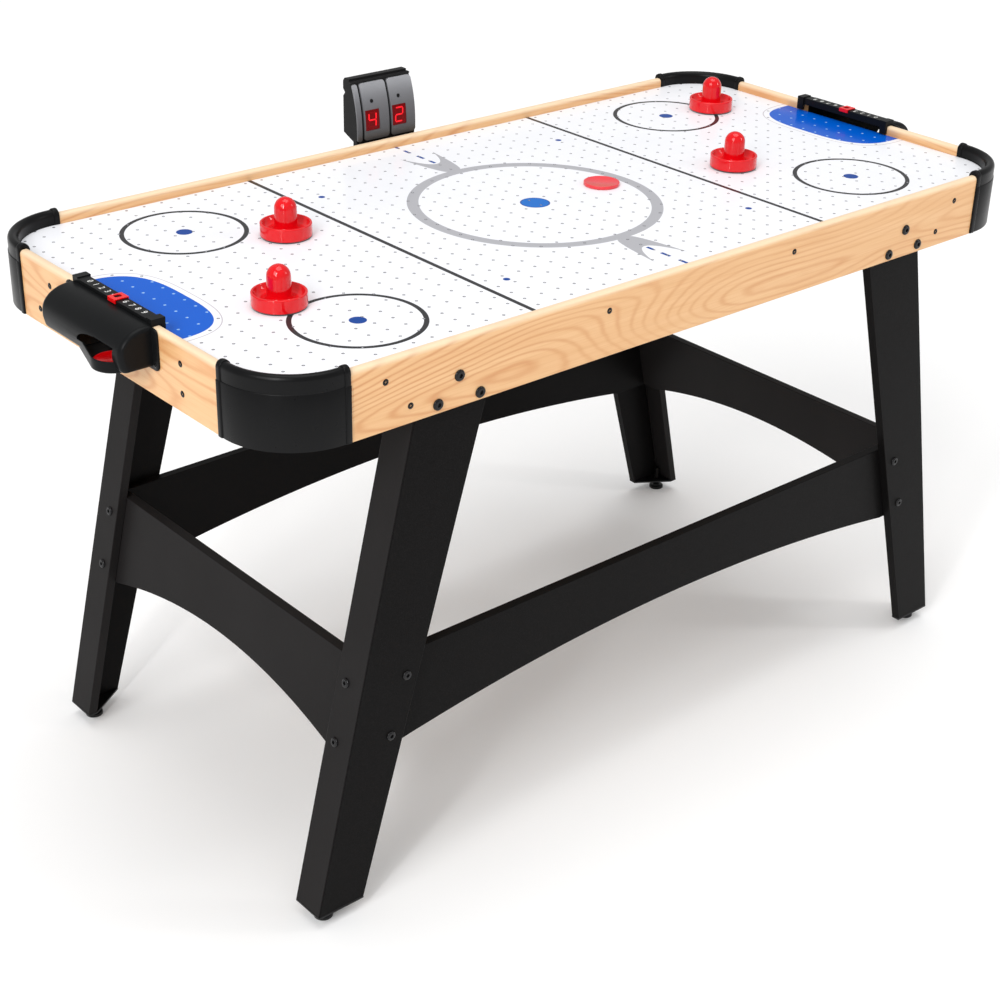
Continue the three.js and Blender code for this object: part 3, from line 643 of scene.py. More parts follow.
def build_field():
    """The playing surface, with a real hole at every crossing of the drilling grid."""
    reach_x = HOLE_COLUMNS * HOLE_PITCH_X + HOLE_MARGIN
    reach_y = (HOLE_ROWS - 0.5) * HOLE_PITCH_Y + HOLE_MARGIN
    edges_x = [(k + 0.5) * HOLE_PITCH_X for k in range(-HOLE_COLUMNS, HOLE_COLUMNS)]
    edges_x = [-reach_x, *edges_x, reach_x]
    edges_y = [k * HOLE_PITCH_Y for k in range(1 - HOLE_ROWS, HOLE_ROWS)]
    edges_y = [-reach_y, *edges_y, reach_y]
    bm = bmesh.new()
    grid = {(i, j): bm.verts.new((x, y, FIELD_TOP))
            for i, x in enumerate(edges_x) for j, y in enumerate(edges_y)}
    last_i, last_j = len(edges_x) - 1, len(edges_y) - 1
    corner_cells = {(i, j) for i in (0, last_i - 1) for j in (0, last_j - 1)}
    for i in range(last_i):
        for j in range(last_j):
            if (i, j) in corner_cells:
                continue
            x = (i - HOLE_COLUMNS) * HOLE_PITCH_X
            y = (j - HOLE_ROWS + 0.5) * HOLE_PITCH_Y
            # Eight corners round the hole, two for each side of its cell.
            ring = [bm.verts.new((a, b, FIELD_TOP)) for a, b in arc(x, y, HOLE_RADIUS, 22.5, 337.5, 7)]
            c00, c10, c11, c01 = (grid[key] for key in ((i, j), (i + 1, j), (i + 1, j + 1), (i, j + 1)))
            for corner, after, k in ((c11, c01, 0), (c01, c00, 2), (c00, c10, 4), (c10, c11, 6)):
                bm.faces.new((corner, ring[k + 1], ring[k]))
                bm.faces.new((corner, after, ring[(k + 2) % 8], ring[k + 1]))
    for key in ((0, 0), (0, last_j), (last_i, 0), (last_i, last_j)):
        bm.verts.remove(grid.pop(key))
    corners = set(grid.values())
    inner = [e for e in bm.edges if len(e.link_faces) == 1 and corners.issuperset(e.verts)]
    outline = rounded(-FIELD_X, FIELD_X, -FIELD_Y, FIELD_Y, FIELD_CORNER, 20)
    verts = [bm.verts.new((a, b, FIELD_TOP)) for a, b in outline]
    outer = [bm.edges.new((verts[k - 1], verts[k])) for k in range(len(verts))]
    bmesh.ops.triangle_fill(bm, use_beauty=True, use_dissolve=False, edges=outer + inner)
    low = span("playfield")[0].z
    thickened(bm, lambda p: (p.x, p.y, low))
    field = skin("playfield", bm, [FIELD_PRINT, CORE_WHITE])
    for polygon in field.data.polygons:
        polygon.material_index = 0 if polygon.normal.z > 0.5 else 1


# ---- aprons
RAIL_ROUND = 6
GOAL_HALF = 90
GOAL_FLOOR = 798


def rail_section(outer, inward):
    """Board section as (across, z): eased along the bottom and well rounded along the top."""
    ease = 0.7
    r = RAIL_ROUND
    points = [(ease, APRON_LOW), (BOARD - ease, APRON_LOW), (BOARD, APRON_LOW + ease)]
    points += arc(BOARD - r, RAIL_TOP - r, r, 0, 90, 8) + arc(r, RAIL_TOP - r, r, 90, 180, 8)
    points.append((0, APRON_LOW + ease))
    return [(outer + inward * u, z) for u, z in points]


def build_aprons():
    reach_x = span("front_apron")[1].x
    reach_y = span("right_end_apron")[1].y
    for i, (side, sign) in enumerate(SIDES):
        board = prism(rail_section(sign * OUTER_Y, -sign), -reach_x, reach_x, "x")
        skin(f"{side}_apron", board, MAPLE_X[i])
    for i, (side, sign) in enumerate(ENDS):
        board = prism(rail_section(sign * OUTER_X, -sign), -reach_y, reach_y, "y")
        mouth = slab(-OUTER_X - 5, OUTER_X + 5, -GOAL_HALF, GOAL_HALF, GOAL_FLOOR, RAIL_TOP + 5)
        skin(f"{side}_end_apron", cut(board, mouth), MAPLE_Y[i])


# ---- corner caps
CAP_OUT_X = OUTER_X + 1.5
CAP_OUT_Y = OUTER_Y + 1.5
CAP_ROUND = 106.5
CAP_END_X = 620
CAP_END_Y = 248
RIB_WIDTH = 9
RIB_PROUD = 1.6
TONGUE_Z = (762, 826)


def cap_section():
    """Cap wall as (u in from the outer face, z, direction that a rib swells in)."""
    low, step, shoulder, crest = 755, 831.5, 848, 856
    points = [(0.8, low, (-1, 0)), (0.2, low + 0.3, (-1, 0)), (0, low + 1, (-1, 0)),
              (0, step, (-1, 0)), (0.3, step + 0.5, (-1, 0)), (1.0, step + 0.9, (-1, 0))]
    for a, z in arc(0, 0, 1, 180, 90, 9):
        points.append((8 + 7 * a, shoulder + (crest - shoulder) * z, (a, z)))
    for a, z in arc(0, 0, 1, 90, 0, 9)[1:]:
        points.append((8 + 8.5 * a, crest - 9 + 9 * z, (a, z)))
    points += [(16.5, 835.7, (1, 0)), (16.1, 835.3, (1, 0)), (14.1, 835.3, (0, 0)),
               (13.9, 847.5, (0, 0)), (7.5, 853, (0, 0)), (2.8, 848, (0, 0)), (2.8, low, (0, 0))]
    return points


def cap_ring(swell, place):
    """The cap's section, swollen by a rib, put in space by place(u)."""
    ring = []
    for u, z, (du, dz) in cap_section():
        x, y = place(u + du * swell)
        ring.append((x, y, z + dz * swell))
    return ring


def corner_cap():
    cx, cy = CAP_OUT_X - CAP_ROUND, CAP_OUT_Y - CAP_ROUND
    rib = [(RIB_WIDTH * t, RIB_PROUD * (1 - abs(2 * t - 1) ** 5) ** 0.5)
           for t in (0, 0.02, 0.07, 0.16, 0.3, 0.5, 0.7, 0.84, 0.93, 0.98, 1)]
    rings = [cap_ring(swell, lambda u, t=t: (CAP_END_X + t, CAP_OUT_Y - u)) for t, swell in rib]
    steps = 40
    for i in range(steps + 1):
        angle = math.pi / 2 * (1 - i / steps)
        c, s = math.cos(angle), math.sin(angle)
        rings.append(cap_ring(0, lambda u, c=c, s=s: (cx + (CAP_ROUND - u) * c, cy + (CAP_ROUND - u) * s)))
    rings += [cap_ring(swell, lambda u, t=t: (CAP_OUT_X - u, CAP_END_Y + t)) for t, swell in reversed(rib)]
    # Tongues reach behind the boards, and a web ties each to the wall.
    tongues = [(518, 626, FIELD_Y - 3, FIELD_Y), (621, 624, FIELD_Y - 1, CAP_OUT_Y - 1),
               (FIELD_X - 3, FIELD_X, 152, 254), (FIELD_X - 1, CAP_OUT_X - 1, 249, 252)]
    return fused(lofted(rings), *(slab(*sides, *TONGUE_Z) for sides in tongues))


def build_caps():
    for corner, sx, sy in CORNERS:
        skin(f"corner_cap_{corner}", mirrored(corner_cap(), sx, sy), CAP_BLACK)


# ---- legs and stretchers
LEG_LOW, LEG_TOP = 23.3, 810
LEG_FACE = FIELD_Y
LEG_END_WIDTH = 56
# The leg's outer and inner edges at the height where its splay is measured from.
SPLAY_Z, SPLAY_OUT, SPLAY_IN = 742, 511, 391
FOOT_LOW, FOOT_TOP = 20, 23
SLOPE_OUT, SLOPE_IN = 0.2344, 0.2927
SLANTED = BOARD * math.hypot(1, SLOPE_OUT)
LEVELLER_X, LEVELLER_Y = 654, 322
STRETCHER_TOP, STRETCHER_FOOT = 390, 250


def outer_at(z):
    return SPLAY_OUT + (SPLAY_Z - z) * SLOPE_OUT


def inner_at(z):
    return SPLAY_IN + (SPLAY_Z - z) * SLOPE_IN


def column(outline):
    """A board whose outline at each height is given by outline(z)."""
    return lofted([[(x, y, z) for x, y in outline(z)] for z in (LEG_LOW, LEG_TOP)])


def side_board(z):
    return [(outer_at(z), LEG_FACE), (inner_at(z), LEG_FACE), (inner_at(z), LEG_FACE - BOARD),
            (outer_at(z) - SLANTED, LEG_FACE - BOARD)]


def end_board(z):
    gap = GAP * math.sqrt(2)
    return [(outer_at(z), LEG_FACE - gap), (outer_at(z) - SLANTED, LEG_FACE - BOARD - gap),
            (outer_at(z) - SLANTED, LEG_FACE - LEG_END_WIDTH), (outer_at(z), LEG_FACE - LEG_END_WIDTH)]


def foot_plate():
    """Plate under the leg with a moulded rim below, bored for the leveller."""
    out, into, end = outer_at(FOOT_TOP), inner_at(FOOT_TOP), LEG_FACE - LEG_END_WIDTH
    outline = [(out, LEG_FACE), (into, LEG_FACE), (into, LEG_FACE - BOARD), (out - SLANTED, end), (out, end)]
    middle = Vector((sum(x for x, y in outline) / 5, sum(y for x, y in outline) / 5))
    rim = [tuple(middle + (Vector(p) - middle) * 0.9) for p in outline]
    plate = cut(prism(outline, FOOT_LOW, FOOT_TOP), prism(rim, FOOT_LOW - 1, FOOT_LOW + 0.8))
    boss = lathe([(0, FOOT_LOW), (9, FOOT_LOW), (9, FOOT_TOP - 1), (0, FOOT_TOP - 1)], 40)
    bore = lathe([(0, FOOT_LOW - 1), (5.4, FOOT_LOW - 1), (5.4, FOOT_TOP + 1), (0, FOOT_TOP + 1)], 32)
    plate = fused(plate, shifted(boss, LEVELLER_X, LEVELLER_Y))
    return cut(plate, shifted(bore, LEVELLER_X, LEVELLER_Y))


def leveller():
    """Ribbed pad on a threaded stem."""
    profile = [(0, 0.4), (11.5, 0.4), (12.2, 0)]
    profile += arc(12.7, 1.3, 1.3, -90, 0, 5) + arc(12.4, 4.2, 1.6, 0, 90, 5)
    profile += [(8.6, 6.3), (7.6, 8.6), (5.6, 9)]
    turns, pitch = 22, 1.5
    for k in range(turns):
        z = 10 + k * pitch
        profile += [(4.3, z), (5, z + 0.55), (5, z + 0.75)]
    profile += [(4.3, 43.2), (3.8, 44), (0, 44)]
    return shifted(lathe(profile, 48), LEVELLER_X, LEVELLER_Y)


def arched(half, slope):
    """A stretcher's outline: straight top, arched underside, ends leaning in by slope."""
    top, end, middle, shoulder = STRETCHER_TOP, STRETCHER_FOOT, 292, 70
    head = half - slope * (top - end)
    reach = half - shoulder * min(1, half / 500)
    points = [(-head, top), (-half, end)]
    steps = 40
    for i in range(steps + 1):
        t = -1 + 2 * i / steps
        points.append((t * reach, end + (middle - end) * (1 - t * t)))
    return [*points, (half, end), (head, top)]


def build_legs():
    makers = {
        "side_board": (lambda: column(side_board), SHADED_LEG_BLACK, 0.9),
        "end_board": (lambda: column(end_board), LIT_END_BLACK, 1.1),
        "foot_plate": (foot_plate, FOOT_BLACK, 0.35),
        "leveller": (leveller, FOOT_BLACK, 0),
    }
    for corner, sx, sy in CORNERS:
        for part, (make, material, bevel) in makers.items():
            skin(f"{corner}_leg_{part}", mirrored(make(), sx, sy), material, bevel=bevel)


def build_stretchers():
    back = LEG_FACE - BOARD - GAP
    long = arched(outer_at(STRETCHER_FOOT) - 2 * SLANTED - 4 * GAP, SLOPE_OUT)
    skin("front_stretcher", prism(long, -back, -back + BOARD, "y"), SHADED_LEG_BLACK, bevel=0.9)
    skin("back_stretcher", prism(long, back - BOARD, back, "y"), SHADED_LEG_BLACK, bevel=0.9)
    inset = outer_at(0) - SLANTED - 2 * GAP
    lean = Matrix.Identity(4)
    lean[0][2] = -SLOPE_OUT
    for side, sign in ENDS:
        board = moved(prism(arched(back, 0), inset - SLANTED, inset, "x"), lean)
        skin(f"{side}_stretcher", mirrored(board, sign, 1), LIT_END_BLACK, bevel=1.1)


# ---- bolts and screws
def polar(radius, z):
    """A ring whose radius is a number, or a function of the angle."""
    points, steps = [], 48
    for angle in (TAU * i / steps for i in range(steps)):
        r = radius(angle) if callable(radius) else radius
        points.append((r * math.cos(angle), r * math.sin(angle), z))
    return points


def hexagon(half_flat):
    return lambda angle: half_flat / math.cos(angle % (TAU / 6) - TAU / 12)


def cross(reach, half):
    """Outline of a cross recess, reach long and 2 * half wide."""
    return lambda angle: min(reach, half / max(1e-3, min(abs(math.sin(angle)), abs(math.cos(angle)))))


def socket_bolt(radius=8.0, height=3.2):
    """Low domed head with a hexagon socket."""
    rings = [polar(radius * 0.96, -0.2), polar(radius, 0.2), polar(radius, 0.9)]
    for angle in (15, 35, 55, 75):
        a = math.radians(angle)
        rings.append(polar(radius * (0.62 + 0.38 * math.cos(a)), 0.9 + (height - 0.9) * math.sin(a)))
    rings += [polar(radius * 0.58, height), polar(hexagon(radius * 0.36), height - 0.1),
              polar(hexagon(radius * 0.34), height - 2.2), [(0, 0, height - 2.6)]]
    return lofted(rings)


def cross_screw(radius=4.5):
    """Raised countersunk head with a cross recess."""
    rings = [polar(radius * 0.9, -0.4), polar(radius, 0.0), polar(radius * 0.98, 0.35)]
    rings += [polar(radius * 0.8, 0.85), polar(radius * 0.62, 1.05), polar(cross(radius * 0.52, 0.7), 1.05),
              polar(cross(radius * 0.36, 0.5), -0.6), [(0, 0, -0.8)]]
    return lofted(rings)


def fasteners(name, make, spots, normal):
    """One piece holding a head at each spot, facing along normal."""
    turn = Vector((0, 0, 1)).rotation_difference(Vector(normal)).to_matrix().to_4x4()
    heads = [moved(make(), Matrix.Translation(spot) @ turn) for spot in spots]
    return piece(name, joined(*heads), SCREW_BLACK, "corner_plastic")


def build_fasteners():
    bolts = [(449, 798), (484, 767), (414, 765)]
    screws = [(567, 821), (528, 778), (187, 821)]
    for side, sign in SIDES:
        for kind, make, places in (("bolts", socket_bolt, bolts), ("screws", cross_screw, screws)):
            spots = [(s * x, sign * OUTER_Y, z) for x, z in places for s in (-1, 1)]
            fasteners(f"{side}_apron_{kind}", make, spots, (0, sign, 0))
    for side, sign in ENDS:
        places = [(164, 822), (165, 781), (-168, 822), (-202, 778)]
        spots = [(sign * OUTER_X, sign * y, z) for y, z in places]
        fasteners(f"{side}_end_screws", cross_screw, spots, (sign, 0, 0))
        spots = [(sign * (OUTER_X + 3), s * 108.5, 801) for s in (-1, 1)]
        fasteners(f"{side}_hood_screws", lambda: cross_screw(3.4), spots, (sign, 0, 0))
    upper, lower, end_y = 366, 278, 312
    for corner, sx, sy in CORNERS:
        spots = [(sx * x, sy * LEG_FACE, z) for x, z in ((523, upper), (551, lower))]
        fasteners(f"{corner}_side_bolts", lambda: socket_bolt(7.2, 3.0), spots, (0, sy, 0))
        spots = [(sx * outer_at(z), sy * end_y, z) for z in (upper, lower)]
        fasteners(f"{corner}_end_bolts", lambda: socket_bolt(7.2, 3.0), spots, (sx, 0, SLOPE_OUT))


# ---- goals
HOOD = {"half": 102, "low": 795.5, "top": 852.5, "depth": 50, "wall": 2.0}
SCOOP = {"y": -59, "radius": 31, "depth": 67, "slant_to": 13}
WELL_FLOOR = 796.5
OPENINGS = {"left": (-38, 46), "right": (-64, 34)}
BAR_OUT, BAR_TOP = 736.5, 858
SLIDER_Y = -4
FIELD_PUCK = (142, 2)


def barrel_ring(inset, back, y):
    """The barrel's section at y, drawn in by inset, from the apron face outwards."""
    low, top = HOOD["low"] + inset, HOOD["top"] - inset
    depth = HOOD["depth"] - inset
    points = [(back, low), *arc(depth - 12, low + 10, 10, -90, -20, 5), (depth, low + 18)]
    for a, z in arc(0, 0, 1, 0, 90, 16):
        points.append((8 + (depth - 8) * a, low + 24 + (top - low - 24) * z))
    points.append((back, top))
    return [(x, y, z) for x, z in points]


def scoop_outline(inset):
    """A round pocket for the puck, whose one side runs back into the barrel at a slant."""
    radius = SCOOP["radius"] - inset
    round_end = arc(SCOOP["depth"] / 2, SCOOP["y"], radius, -90, 17, 20)
    return [(2, SCOOP["y"] - radius), *round_end, (44 - inset, SCOOP["slant_to"] - inset),
            (2, SCOOP["slant_to"] - inset)]


def goal_hood(opening_y, opening_half):
    """Half barrel on a flange, with a scoop and an oval opening that a hand reaches into."""
    half, wall = HOOD["half"], HOOD["wall"]
    ends = [(half - 8 + 8 * math.cos(math.radians(b)), 7 * (1 - math.sin(math.radians(b))))
            for b in range(0, 91, 10)]
    rings = [barrel_ring(inset, 0.3, -y) for y, inset in ends]
    rings += [barrel_ring(inset, 0.3, y) for y, inset in reversed(ends)]
    hood = lofted(rings)
    flange = lofted([[(x, a, b) for a, b in rounded(-115 + i, 115 - i, 793 + i, 850.5 - i, 8 - i)]
                     for x, i in ((0.3, 0), (2.4, 0), (2.8, 0.2), (3, 0.6))])
    scoop = lofted([[(a, b, z) for a, b in scoop_outline(i)]
                    for z, i in ((794, 1.5), (794.5, 0.6), (795.5, 0), (808.6, 0), (809.6, 0.3), (810, 0.9))])
    hollow = lofted([barrel_ring(wall, -8, y) for y in (-half + 7, half - 7)])
    well = prism(scoop_outline(2.4), WELL_FLOOR, 811.5)
    opening = lathe([(0, 0), *arc(0, 0, 1, 0, 84, 14), (0, 1)], 64)
    place = Matrix.Translation((HOOD["depth"] + 2, opening_y, 810.5))
    opening = moved(opening, place @ Matrix.Diagonal((30, opening_half, 17, 1)))
    # The way up for the puck, which lies flat in the pocket and is lifted straight out.
    lift = prism(circle(SCOOP["depth"] / 2, SCOOP["y"], 29.2, 64), 800, 828.2)
    return shifted(cut(fused(hood, flange, scoop), hollow, well, opening, lift), OUTER_X, 0)


def score_bar():
    """Bar over the goal mouth on an end block at each side, which drops inside the rail."""
    bar = slab(719, BAR_OUT, -GOAL_HALF + GAP, GOAL_HALF - GAP, 846.5, BAR_TOP)
    for y0, y1 in ((-100, -87), (87, 100)):
        bar = fused(bar, slab(716, BAR_OUT, y0, y1, 850.3, 859.5), slab(716, FIELD_X, y0, y1, 837, 851.3))
    return bar


def score_slider():
    """Saddle over the bar with a sight window through its top."""
    saddle = slab(717.1, 738.4, -9.5, 9.5, 853.8, 859.9)
    groove = slab(718.7, BAR_OUT + GAP, -10, 10, 850, BAR_TOP + GAP)
    return cut(saddle, groove, prism(rounded(722.7, 732.8, -3, 6, 2.5), 857, 862))


def lettering(text, size, depth):
    """Numerals as a solid, reading along +X, with their middle at the origin."""
    curve = bpy.data.curves.new("numeral", "FONT")
    curve.body = text
    curve.size = size
    curve.extrude = depth
    curve.resolution_u = 4
    curve.align_x = "CENTER"
    curve.align_y = "CENTER"
    obj = linked("numeral", curve)
    bm = evaluated(obj)
    bpy.data.objects.remove(obj)
    bpy.data.curves.remove(curve)
    return bm


def bar_numerals():
    """0 to 9 along the right-hand bar, read from that end of the table."""
    numerals, pitch = [], 15.2
    for digit in range(10):
        place = Matrix.Translation((727.8, (digit - 4.5) * pitch, BAR_TOP))
        numerals.append(moved(lettering(str(digit), 12.5, 0.12), place @ Matrix.Rotation(TAU / 4, 4, "Z")))
    return joined(*numerals)


def puck():
    r, t, edge = 28.5, 5, 0.9
    profile = [(0, 0), *arc(r - edge, edge, edge, -90, 0, 4), (r - 0.25, t / 2)]
    profile += [*arc(r - edge, t - edge, edge, 0, 90, 4), (r - 3.2, t), (r - 3.6, t - 0.25), (0, t - 0.25)]
    return lathe(profile, FINE)


def build_goals():
    for side, sign in ENDS:
        skin(f"{side}_goal_hood", mirrored(goal_hood(*OPENINGS[side]), sign, 1), GOAL_BLACK, sharp=30)
        skin(f"{side}_score_bar", mirrored(score_bar(), sign, 1), GOAL_BLACK, bevel=0.7, segments=3)
        slider = shifted(mirrored(score_slider(), sign, 1), 0, SLIDER_Y)
        skin(f"{side}_score_slider", slider, BRIGHT_RED, bevel=0.35)
        turn = Matrix.Rotation(0 if sign > 0 else math.pi, 4, "Z")
        piece(f"{side}_bar_numerals", moved(bar_numerals(), turn), WHITE_INK, "goal_plastic")
    skin("field_puck", shifted(puck(), *FIELD_PUCK, FIELD_TOP + GAP), PUCK_RED)
    in_pocket = (-OUTER_X - SCOOP["depth"] / 2, SCOOP["y"], WELL_FLOOR + GAP)
    skin("goal_puck", shifted(puck(), *in_pocket), BRIGHT_RED)


# ---- strikers
STRIKERS = ((-386, 109), (-547, -107), (589, 192), (378, -60))


def striker_shell():
    """Dished base with a domed knob, hollow underneath."""
    low, r, knob, top = 1.9, 38, 16.5, 58
    profile = [(r - 0.6, low), (r, low + 0.6), (r, 18.6)]
    profile += arc(r - 1.5, 19.5, 1.5, 0, 90, 6) + arc(r - 2.2, 19.6, 1.4, 90, 170, 5)
    profile += [(r - 5.2, 15.5), (r - 7.5, 12.2), (r - 10.5, 10.6), (24, 10.2)]
    profile += [(knob + 5, 10.6), (knob + 2.6, 11.9), (knob + 1, 14.4), (knob + 0.3, 18)]
    profile += arc(0, top - knob, knob, 0, 90, 14)[:-1] + [(0, top)]
    inside = [(0, top - 2.5), *arc(0, top - knob, knob - 2.5, 80, 0, 8), (knob - 2.2, 12), (knob, 8.6)]
    inside += [(knob + 4, 8), (r - 10, 8.4), (r - 7.5, 9.6), (r - 5.5, low)]
    return joined(*(lofted(turned(side, FINE), False, False) for side in (profile, [*inside, profile[0]])))


def felt_pad():
    return lathe([(0, 0), (36.8, 0), (37.3, 0.3), (37.4, 0.9), (37.2, 1.6), (0, 1.6)], FINE)


def build_strikers():
    for i, (x, y) in enumerate(STRIKERS, 1):
        skin(f"striker_{i}_shell", shifted(striker_shell(), x, y, FIELD_TOP + GAP), STRIKER_RED)
        skin(f"striker_{i}_felt", shifted(felt_pad(), x, y, FIELD_TOP + GAP), FELT)


# ---- scoreboard
FACE = {"half": 60, "low": 841, "grey_from": 848.5, "high": 945, "front": 371, "lean": 17, "shell": 7}
PANELS = ((-60, -51), (-46.5, 5), (9.5, 59.5))
WINDOW_X = (-29, 26.5)
BUTTON_X = (-27.5, 27.5)
WINDOW_Z, BUTTON_Z = 881, 911.5


def face_y(z):
    """How far back the curled front lies at a height."""
    t = (z - FACE["low"]) / (FACE["high"] - FACE["low"])
    return FACE["front"] + FACE["lean"] * max(0, (t - 0.2) / 0.8) ** 2.2


def curled(outlines, inset, thick):
    """A sheet cut to (x, z) outlines, laid along the curled front and given a thickness."""
    bm = filled(outlines)
    for z in range(FACE["low"] + 2, FACE["high"], 3):
        geometry = [*bm.verts, *bm.edges, *bm.faces]
        bmesh.ops.bisect_plane(bm, geom=geometry, plane_co=(0, z, 0), plane_no=(0, 1, 0))
    thickened(bm, lambda p: (p.x, p.y, 1))
    for v in bm.verts:
        x, z, layer = v.co
        v.co = (x, face_y(z) + inset + layer * thick, z)
    return bm


def front_line(low, high, inset):
    """(y, z) down the curled front, set back by inset."""
    steps = 16
    heights = [high + (low - high) * i / steps for i in range(steps + 1)]
    return [(face_y(z) + inset, z) for z in heights]


def window(x, half_x, half_z):
    return rounded(x - half_x, x + half_x, WINDOW_Z - half_z, WINDOW_Z + half_z, 0.8, 3)


def build_face():
    low, high, half, shell = (FACE[key] for key in ("low", "high", "half", "shell"))
    # The dark sheet shows as the grooves between the grey panels that stand on it, and as the black base
    # below them; in the grooves it is painted shade for the shadow that the panels cast.
    holes = [window(x, 15, 18) for x in WINDOW_X] + [circle(x, BUTTON_Z, 3.8) for x in BUTTON_X]
    sheet = curled([rounded(-half + 0.4, half - 0.4, low + 0.4, high - 1, 3), *holes], 3, 2)
    outline = front_line(low + 1, high - 2, 3.6) + front_line(low + 1, high - 2, shell)[::-1]
    edges = [prism(outline, x0, x1, "x")
             for x0, x1 in ((-half + 0.4, -half + 2.5), (half - 2.5, half - 0.4))]
    # Painted shade: the black crest stands for the dark top of the front, where it curls back from the light.
    crest = curled([rounded(-half, half, high - 3, high, 1.4)], 0.6, 6.5)
    piece("scoreboard_black_and_painted_shade", joined(sheet, crest, *edges), SCORER_BLACK, "scoreboard_black", bevel=0.4)
    rim, first, second = (rounded(x0, x1, FACE["grey_from"], high - 4.4, r)
                          for (x0, x1), r in zip(PANELS, (3.5, 5.5, 5.5)))
    grey = [curled([rim], 0, 3.4)]
    for panel, x, button_x in zip((first, second), WINDOW_X, BUTTON_X):
        grey.append(curled([panel, window(x, 14.4, 17), circle(button_x, BUTTON_Z, 3.3)], 0, 3.4))
    skin("scoreboard_face", joined(*grey), FACE_GREY, bevel=0.9, segments=3, sharp=40)


def build_housing():
    low, high, front = (FACE[key] for key in ("low", "high", "front"))
    inset = FACE["shell"] + GAP
    body = [(363.3, 780), (367.3, 780), (367.3, 818), (386, 834), (386, 846), (412, 857), (412, 918),
            (407, 924), (412, 930), (412, 943), (408, 948), (face_y(high) + inset, 948),
            *front_line(low, high, inset), (front + inset, low - GAP), (front + 2, low - GAP),
            (front + 2, 832), (363.3, 822)]
    cavity = [(388, 850), (408, 860), (404, 918), (404, high - 2), (face_y(high) + inset + 2, high - 2),
              *front_line(850, high - 2, inset - 1)]
    housing = cut(prism(body, -59, 59, "x"), prism(cavity, -56, 56, "x"))
    skin("scoreboard_housing", housing, SCORER_BLACK, bevel=1.2, segments=3)


def segment(x, z, length, upright):
    """One bar of a seven-segment numeral, pointed at both ends, on the curled glass."""
    half, thick, slant = length / 2 - 0.4, 1.1, 0.07
    outline = [(-half, 0), (-half + thick, -thick), (half - thick, -thick), (half, 0),
               (half - thick, thick), (-half + thick, thick)]
    if upright:
        outline = [(b, a) for a, b in reversed(outline)]
    return curled([[(x + a + slant * (z + b - WINDOW_Z), z + b) for a, b in outline]], 0.55, 0.5)


def build_displays():
    lit = {"left": "bcfg", "right": "abdeg"}
    wide, tall = 14.5, 11.4
    # Three bars lie across the middle, and the four beside it stand upright.
    bars = {"a": (0, tall), "d": (0, -tall), "g": (0, 0), "b": (wide / 2, tall / 2),
            "c": (wide / 2, -tall / 2), "e": (-wide / 2, -tall / 2), "f": (-wide / 2, tall / 2)}
    for i, side in enumerate(("left", "right")):
        x = WINDOW_X[i]
        skin(f"{side}_score_display", curled([window(x, 14.1, 16.7)], 0.8, 7), DISPLAY_RED)
        for state, material in (("lit", LIT_RED), ("dark", DIM_RED)):
            parts = [segment(x + dx, WINDOW_Z + dz, tall if dx else wide, dx != 0)
                     for key, (dx, dz) in bars.items() if (key in lit[side]) == (state == "lit")]
            piece(f"{side}_{state}_segments", joined(*parts), material, "display_red")
        front = face_y(BUTTON_Z)
        rod = lathe([(0, front - 1.1), *arc(2.1, front - 0.1, 0.9, -90, 0, 4), (3, 395), (0, 395)], 40)
        lying = Matrix.Rotation(TAU / 4, 4, "X") @ Matrix.Diagonal((1, 1, -1, 1))
        rod = moved(rod, Matrix.Translation((BUTTON_X[i], 0, BUTTON_Z)) @ lying)
        skin(f"{side}_score_button", rod, SCORER_BLACK)


# ---- everything
build_field()
build_aprons()
build_caps()
build_legs()
build_stretchers()
build_fasteners()
build_goals()
build_strikers()
build_face()
build_housing()
build_displays()
# CAD nodes that stay in view.
for node, material in (
    ("air_chamber_panel", RAW_BOARD), ("air_chamber_frame", RAW_BOARD), ("blower_housing", BLOWER_BLACK),
    ("blower_motor", STEEL), ("blower_impeller", BLOWER_BLACK), ("power_inlet", BLOWER_BLACK),
    ("power_switch", BLOWER_BLACK), ("scoreboard_circuit_board", CIRCUIT),
):
    materials = frame["nodes"][node].data.materials
    materials.clear()
    materials.append(material)


# ---- room, light and camera
FLOOR_REACH = 30


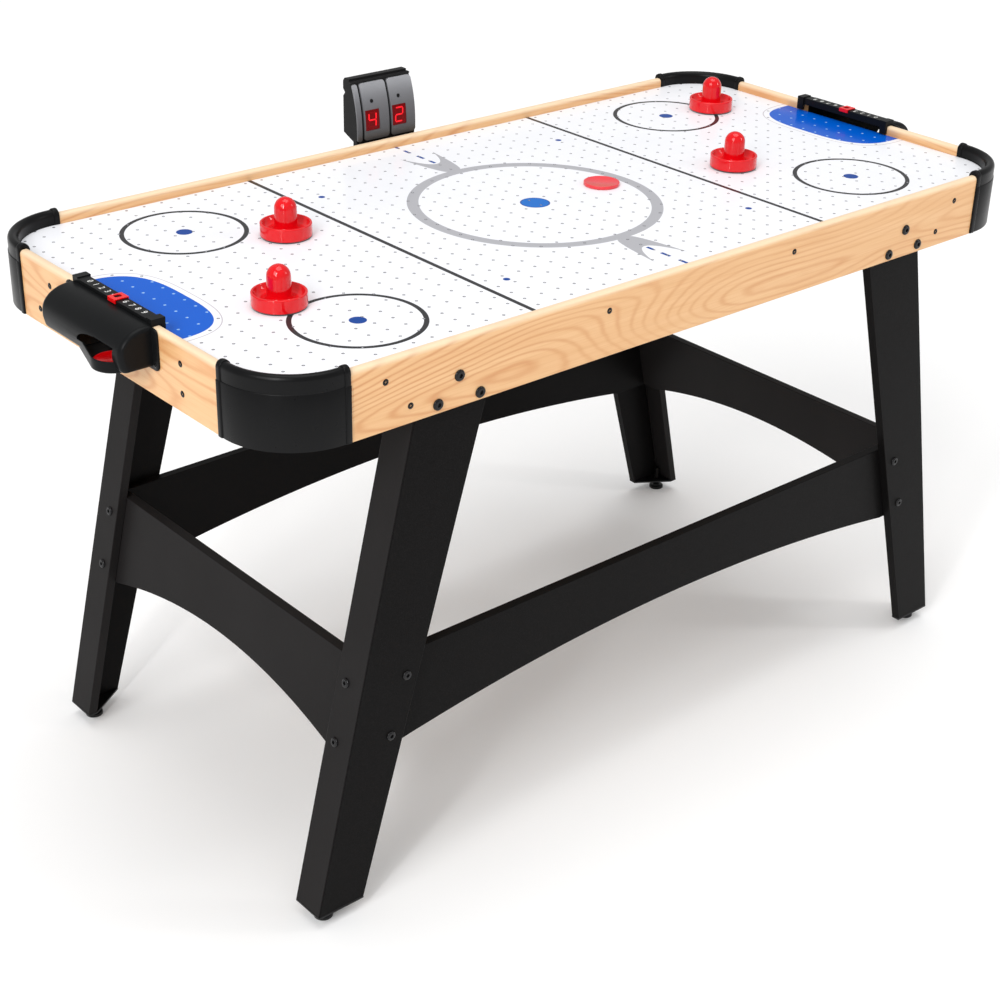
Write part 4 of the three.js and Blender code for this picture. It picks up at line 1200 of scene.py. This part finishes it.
def build_stage():
    backdrop = Finish("backdrop", (0.9, 0.9, 0.9), 0.9, Specular_IOR_Level=0.1)
    cloud = backdrop.noise(backdrop.place, 0.5, 2)
    backdrop.color(backdrop.mix(cloud, (0.915, 0.915, 0.915), (0.925, 0.925, 0.925)))
    backdrop.shader.inputs["Emission Color"].default_value = (1, 1, 1, 1)
    backdrop.shader.inputs["Emission Strength"].default_value = 0.09
    bm = bmesh.new()
    bmesh.ops.create_grid(bm, x_segments=8, y_segments=8, size=FLOOR_REACH)
    mesh = mesh_of("floor", bm)
    mesh.materials.append(backdrop.material)
    floor = linked("floor", mesh)


def add_light(kind, name, place, power, **values):
    """A light that faces the middle of the table."""
    light = bpy.data.lights.new(name, kind)
    light.energy = power
    for key, value in values.items():
        setattr(light, key, value)
    obj = linked(name, light)
    obj.location = place
    obj.rotation_euler = (Vector((0, 0, 0.7)) - Vector(place)).to_track_quat("-Z", "Y").to_euler()


def build_light():
    world = bpy.data.worlds.new("studio")
    bpy.context.scene.world = world
    world.use_nodes = True
    nodes, links = world.node_tree.nodes, world.node_tree.links
    nodes["Background"].inputs["Color"].default_value = (1, 1, 1, 1)
    # The sky looks pure white, but lights the table with less than that.
    path = nodes.new("ShaderNodeLightPath")
    sky = nodes.new("ShaderNodeMapRange")
    sky.inputs["To Min"].default_value = 0.48
    sky.inputs["To Max"].default_value = 1.0
    links.new(path.outputs["Is Camera Ray"], sky.inputs["Value"])
    links.new(sky.outputs["Result"], nodes["Background"].inputs["Strength"])
    add_light("SUN", "key_sun", (-3, -1.1, 3.2), 1.1, angle=math.radians(34))
    add_light("SUN", "top_sun", (0.3, 0.1, 4), 1.12, angle=math.radians(44))
    softbox = {"shape": "RECTANGLE", "size": 0.2, "size_y": 1.6}
    add_light("AREA", "left_box", (-2.9, -1.6, 2.4), 26, **softbox)
    add_light("AREA", "right_box", (2.6, -2.6, 2.6), 16, **softbox)
    bpy.context.scene.view_settings.view_transform = "Standard"


def build_camera():
    place, yaw, pitch, roll = Vector((-1.8329, -2.0224 + CENTRE_Y, 1.7684)), 0.7208, 0.4887, 0.0251
    turn = Matrix.Rotation(-yaw, 4, "Z") @ Matrix.Rotation(TAU / 4 - pitch, 4, "X")
    data = bpy.data.cameras.new("camera")
    data.sensor_width = 36
    data.lens = 66.87
    camera = linked("camera", data)
    camera.matrix_world = Matrix.Translation(place) @ turn @ Matrix.Rotation(roll, 4, "Z")
    bpy.context.scene.camera = camera


build_stage()
build_light()
build_camera()

bpy.context.view_layer.update()
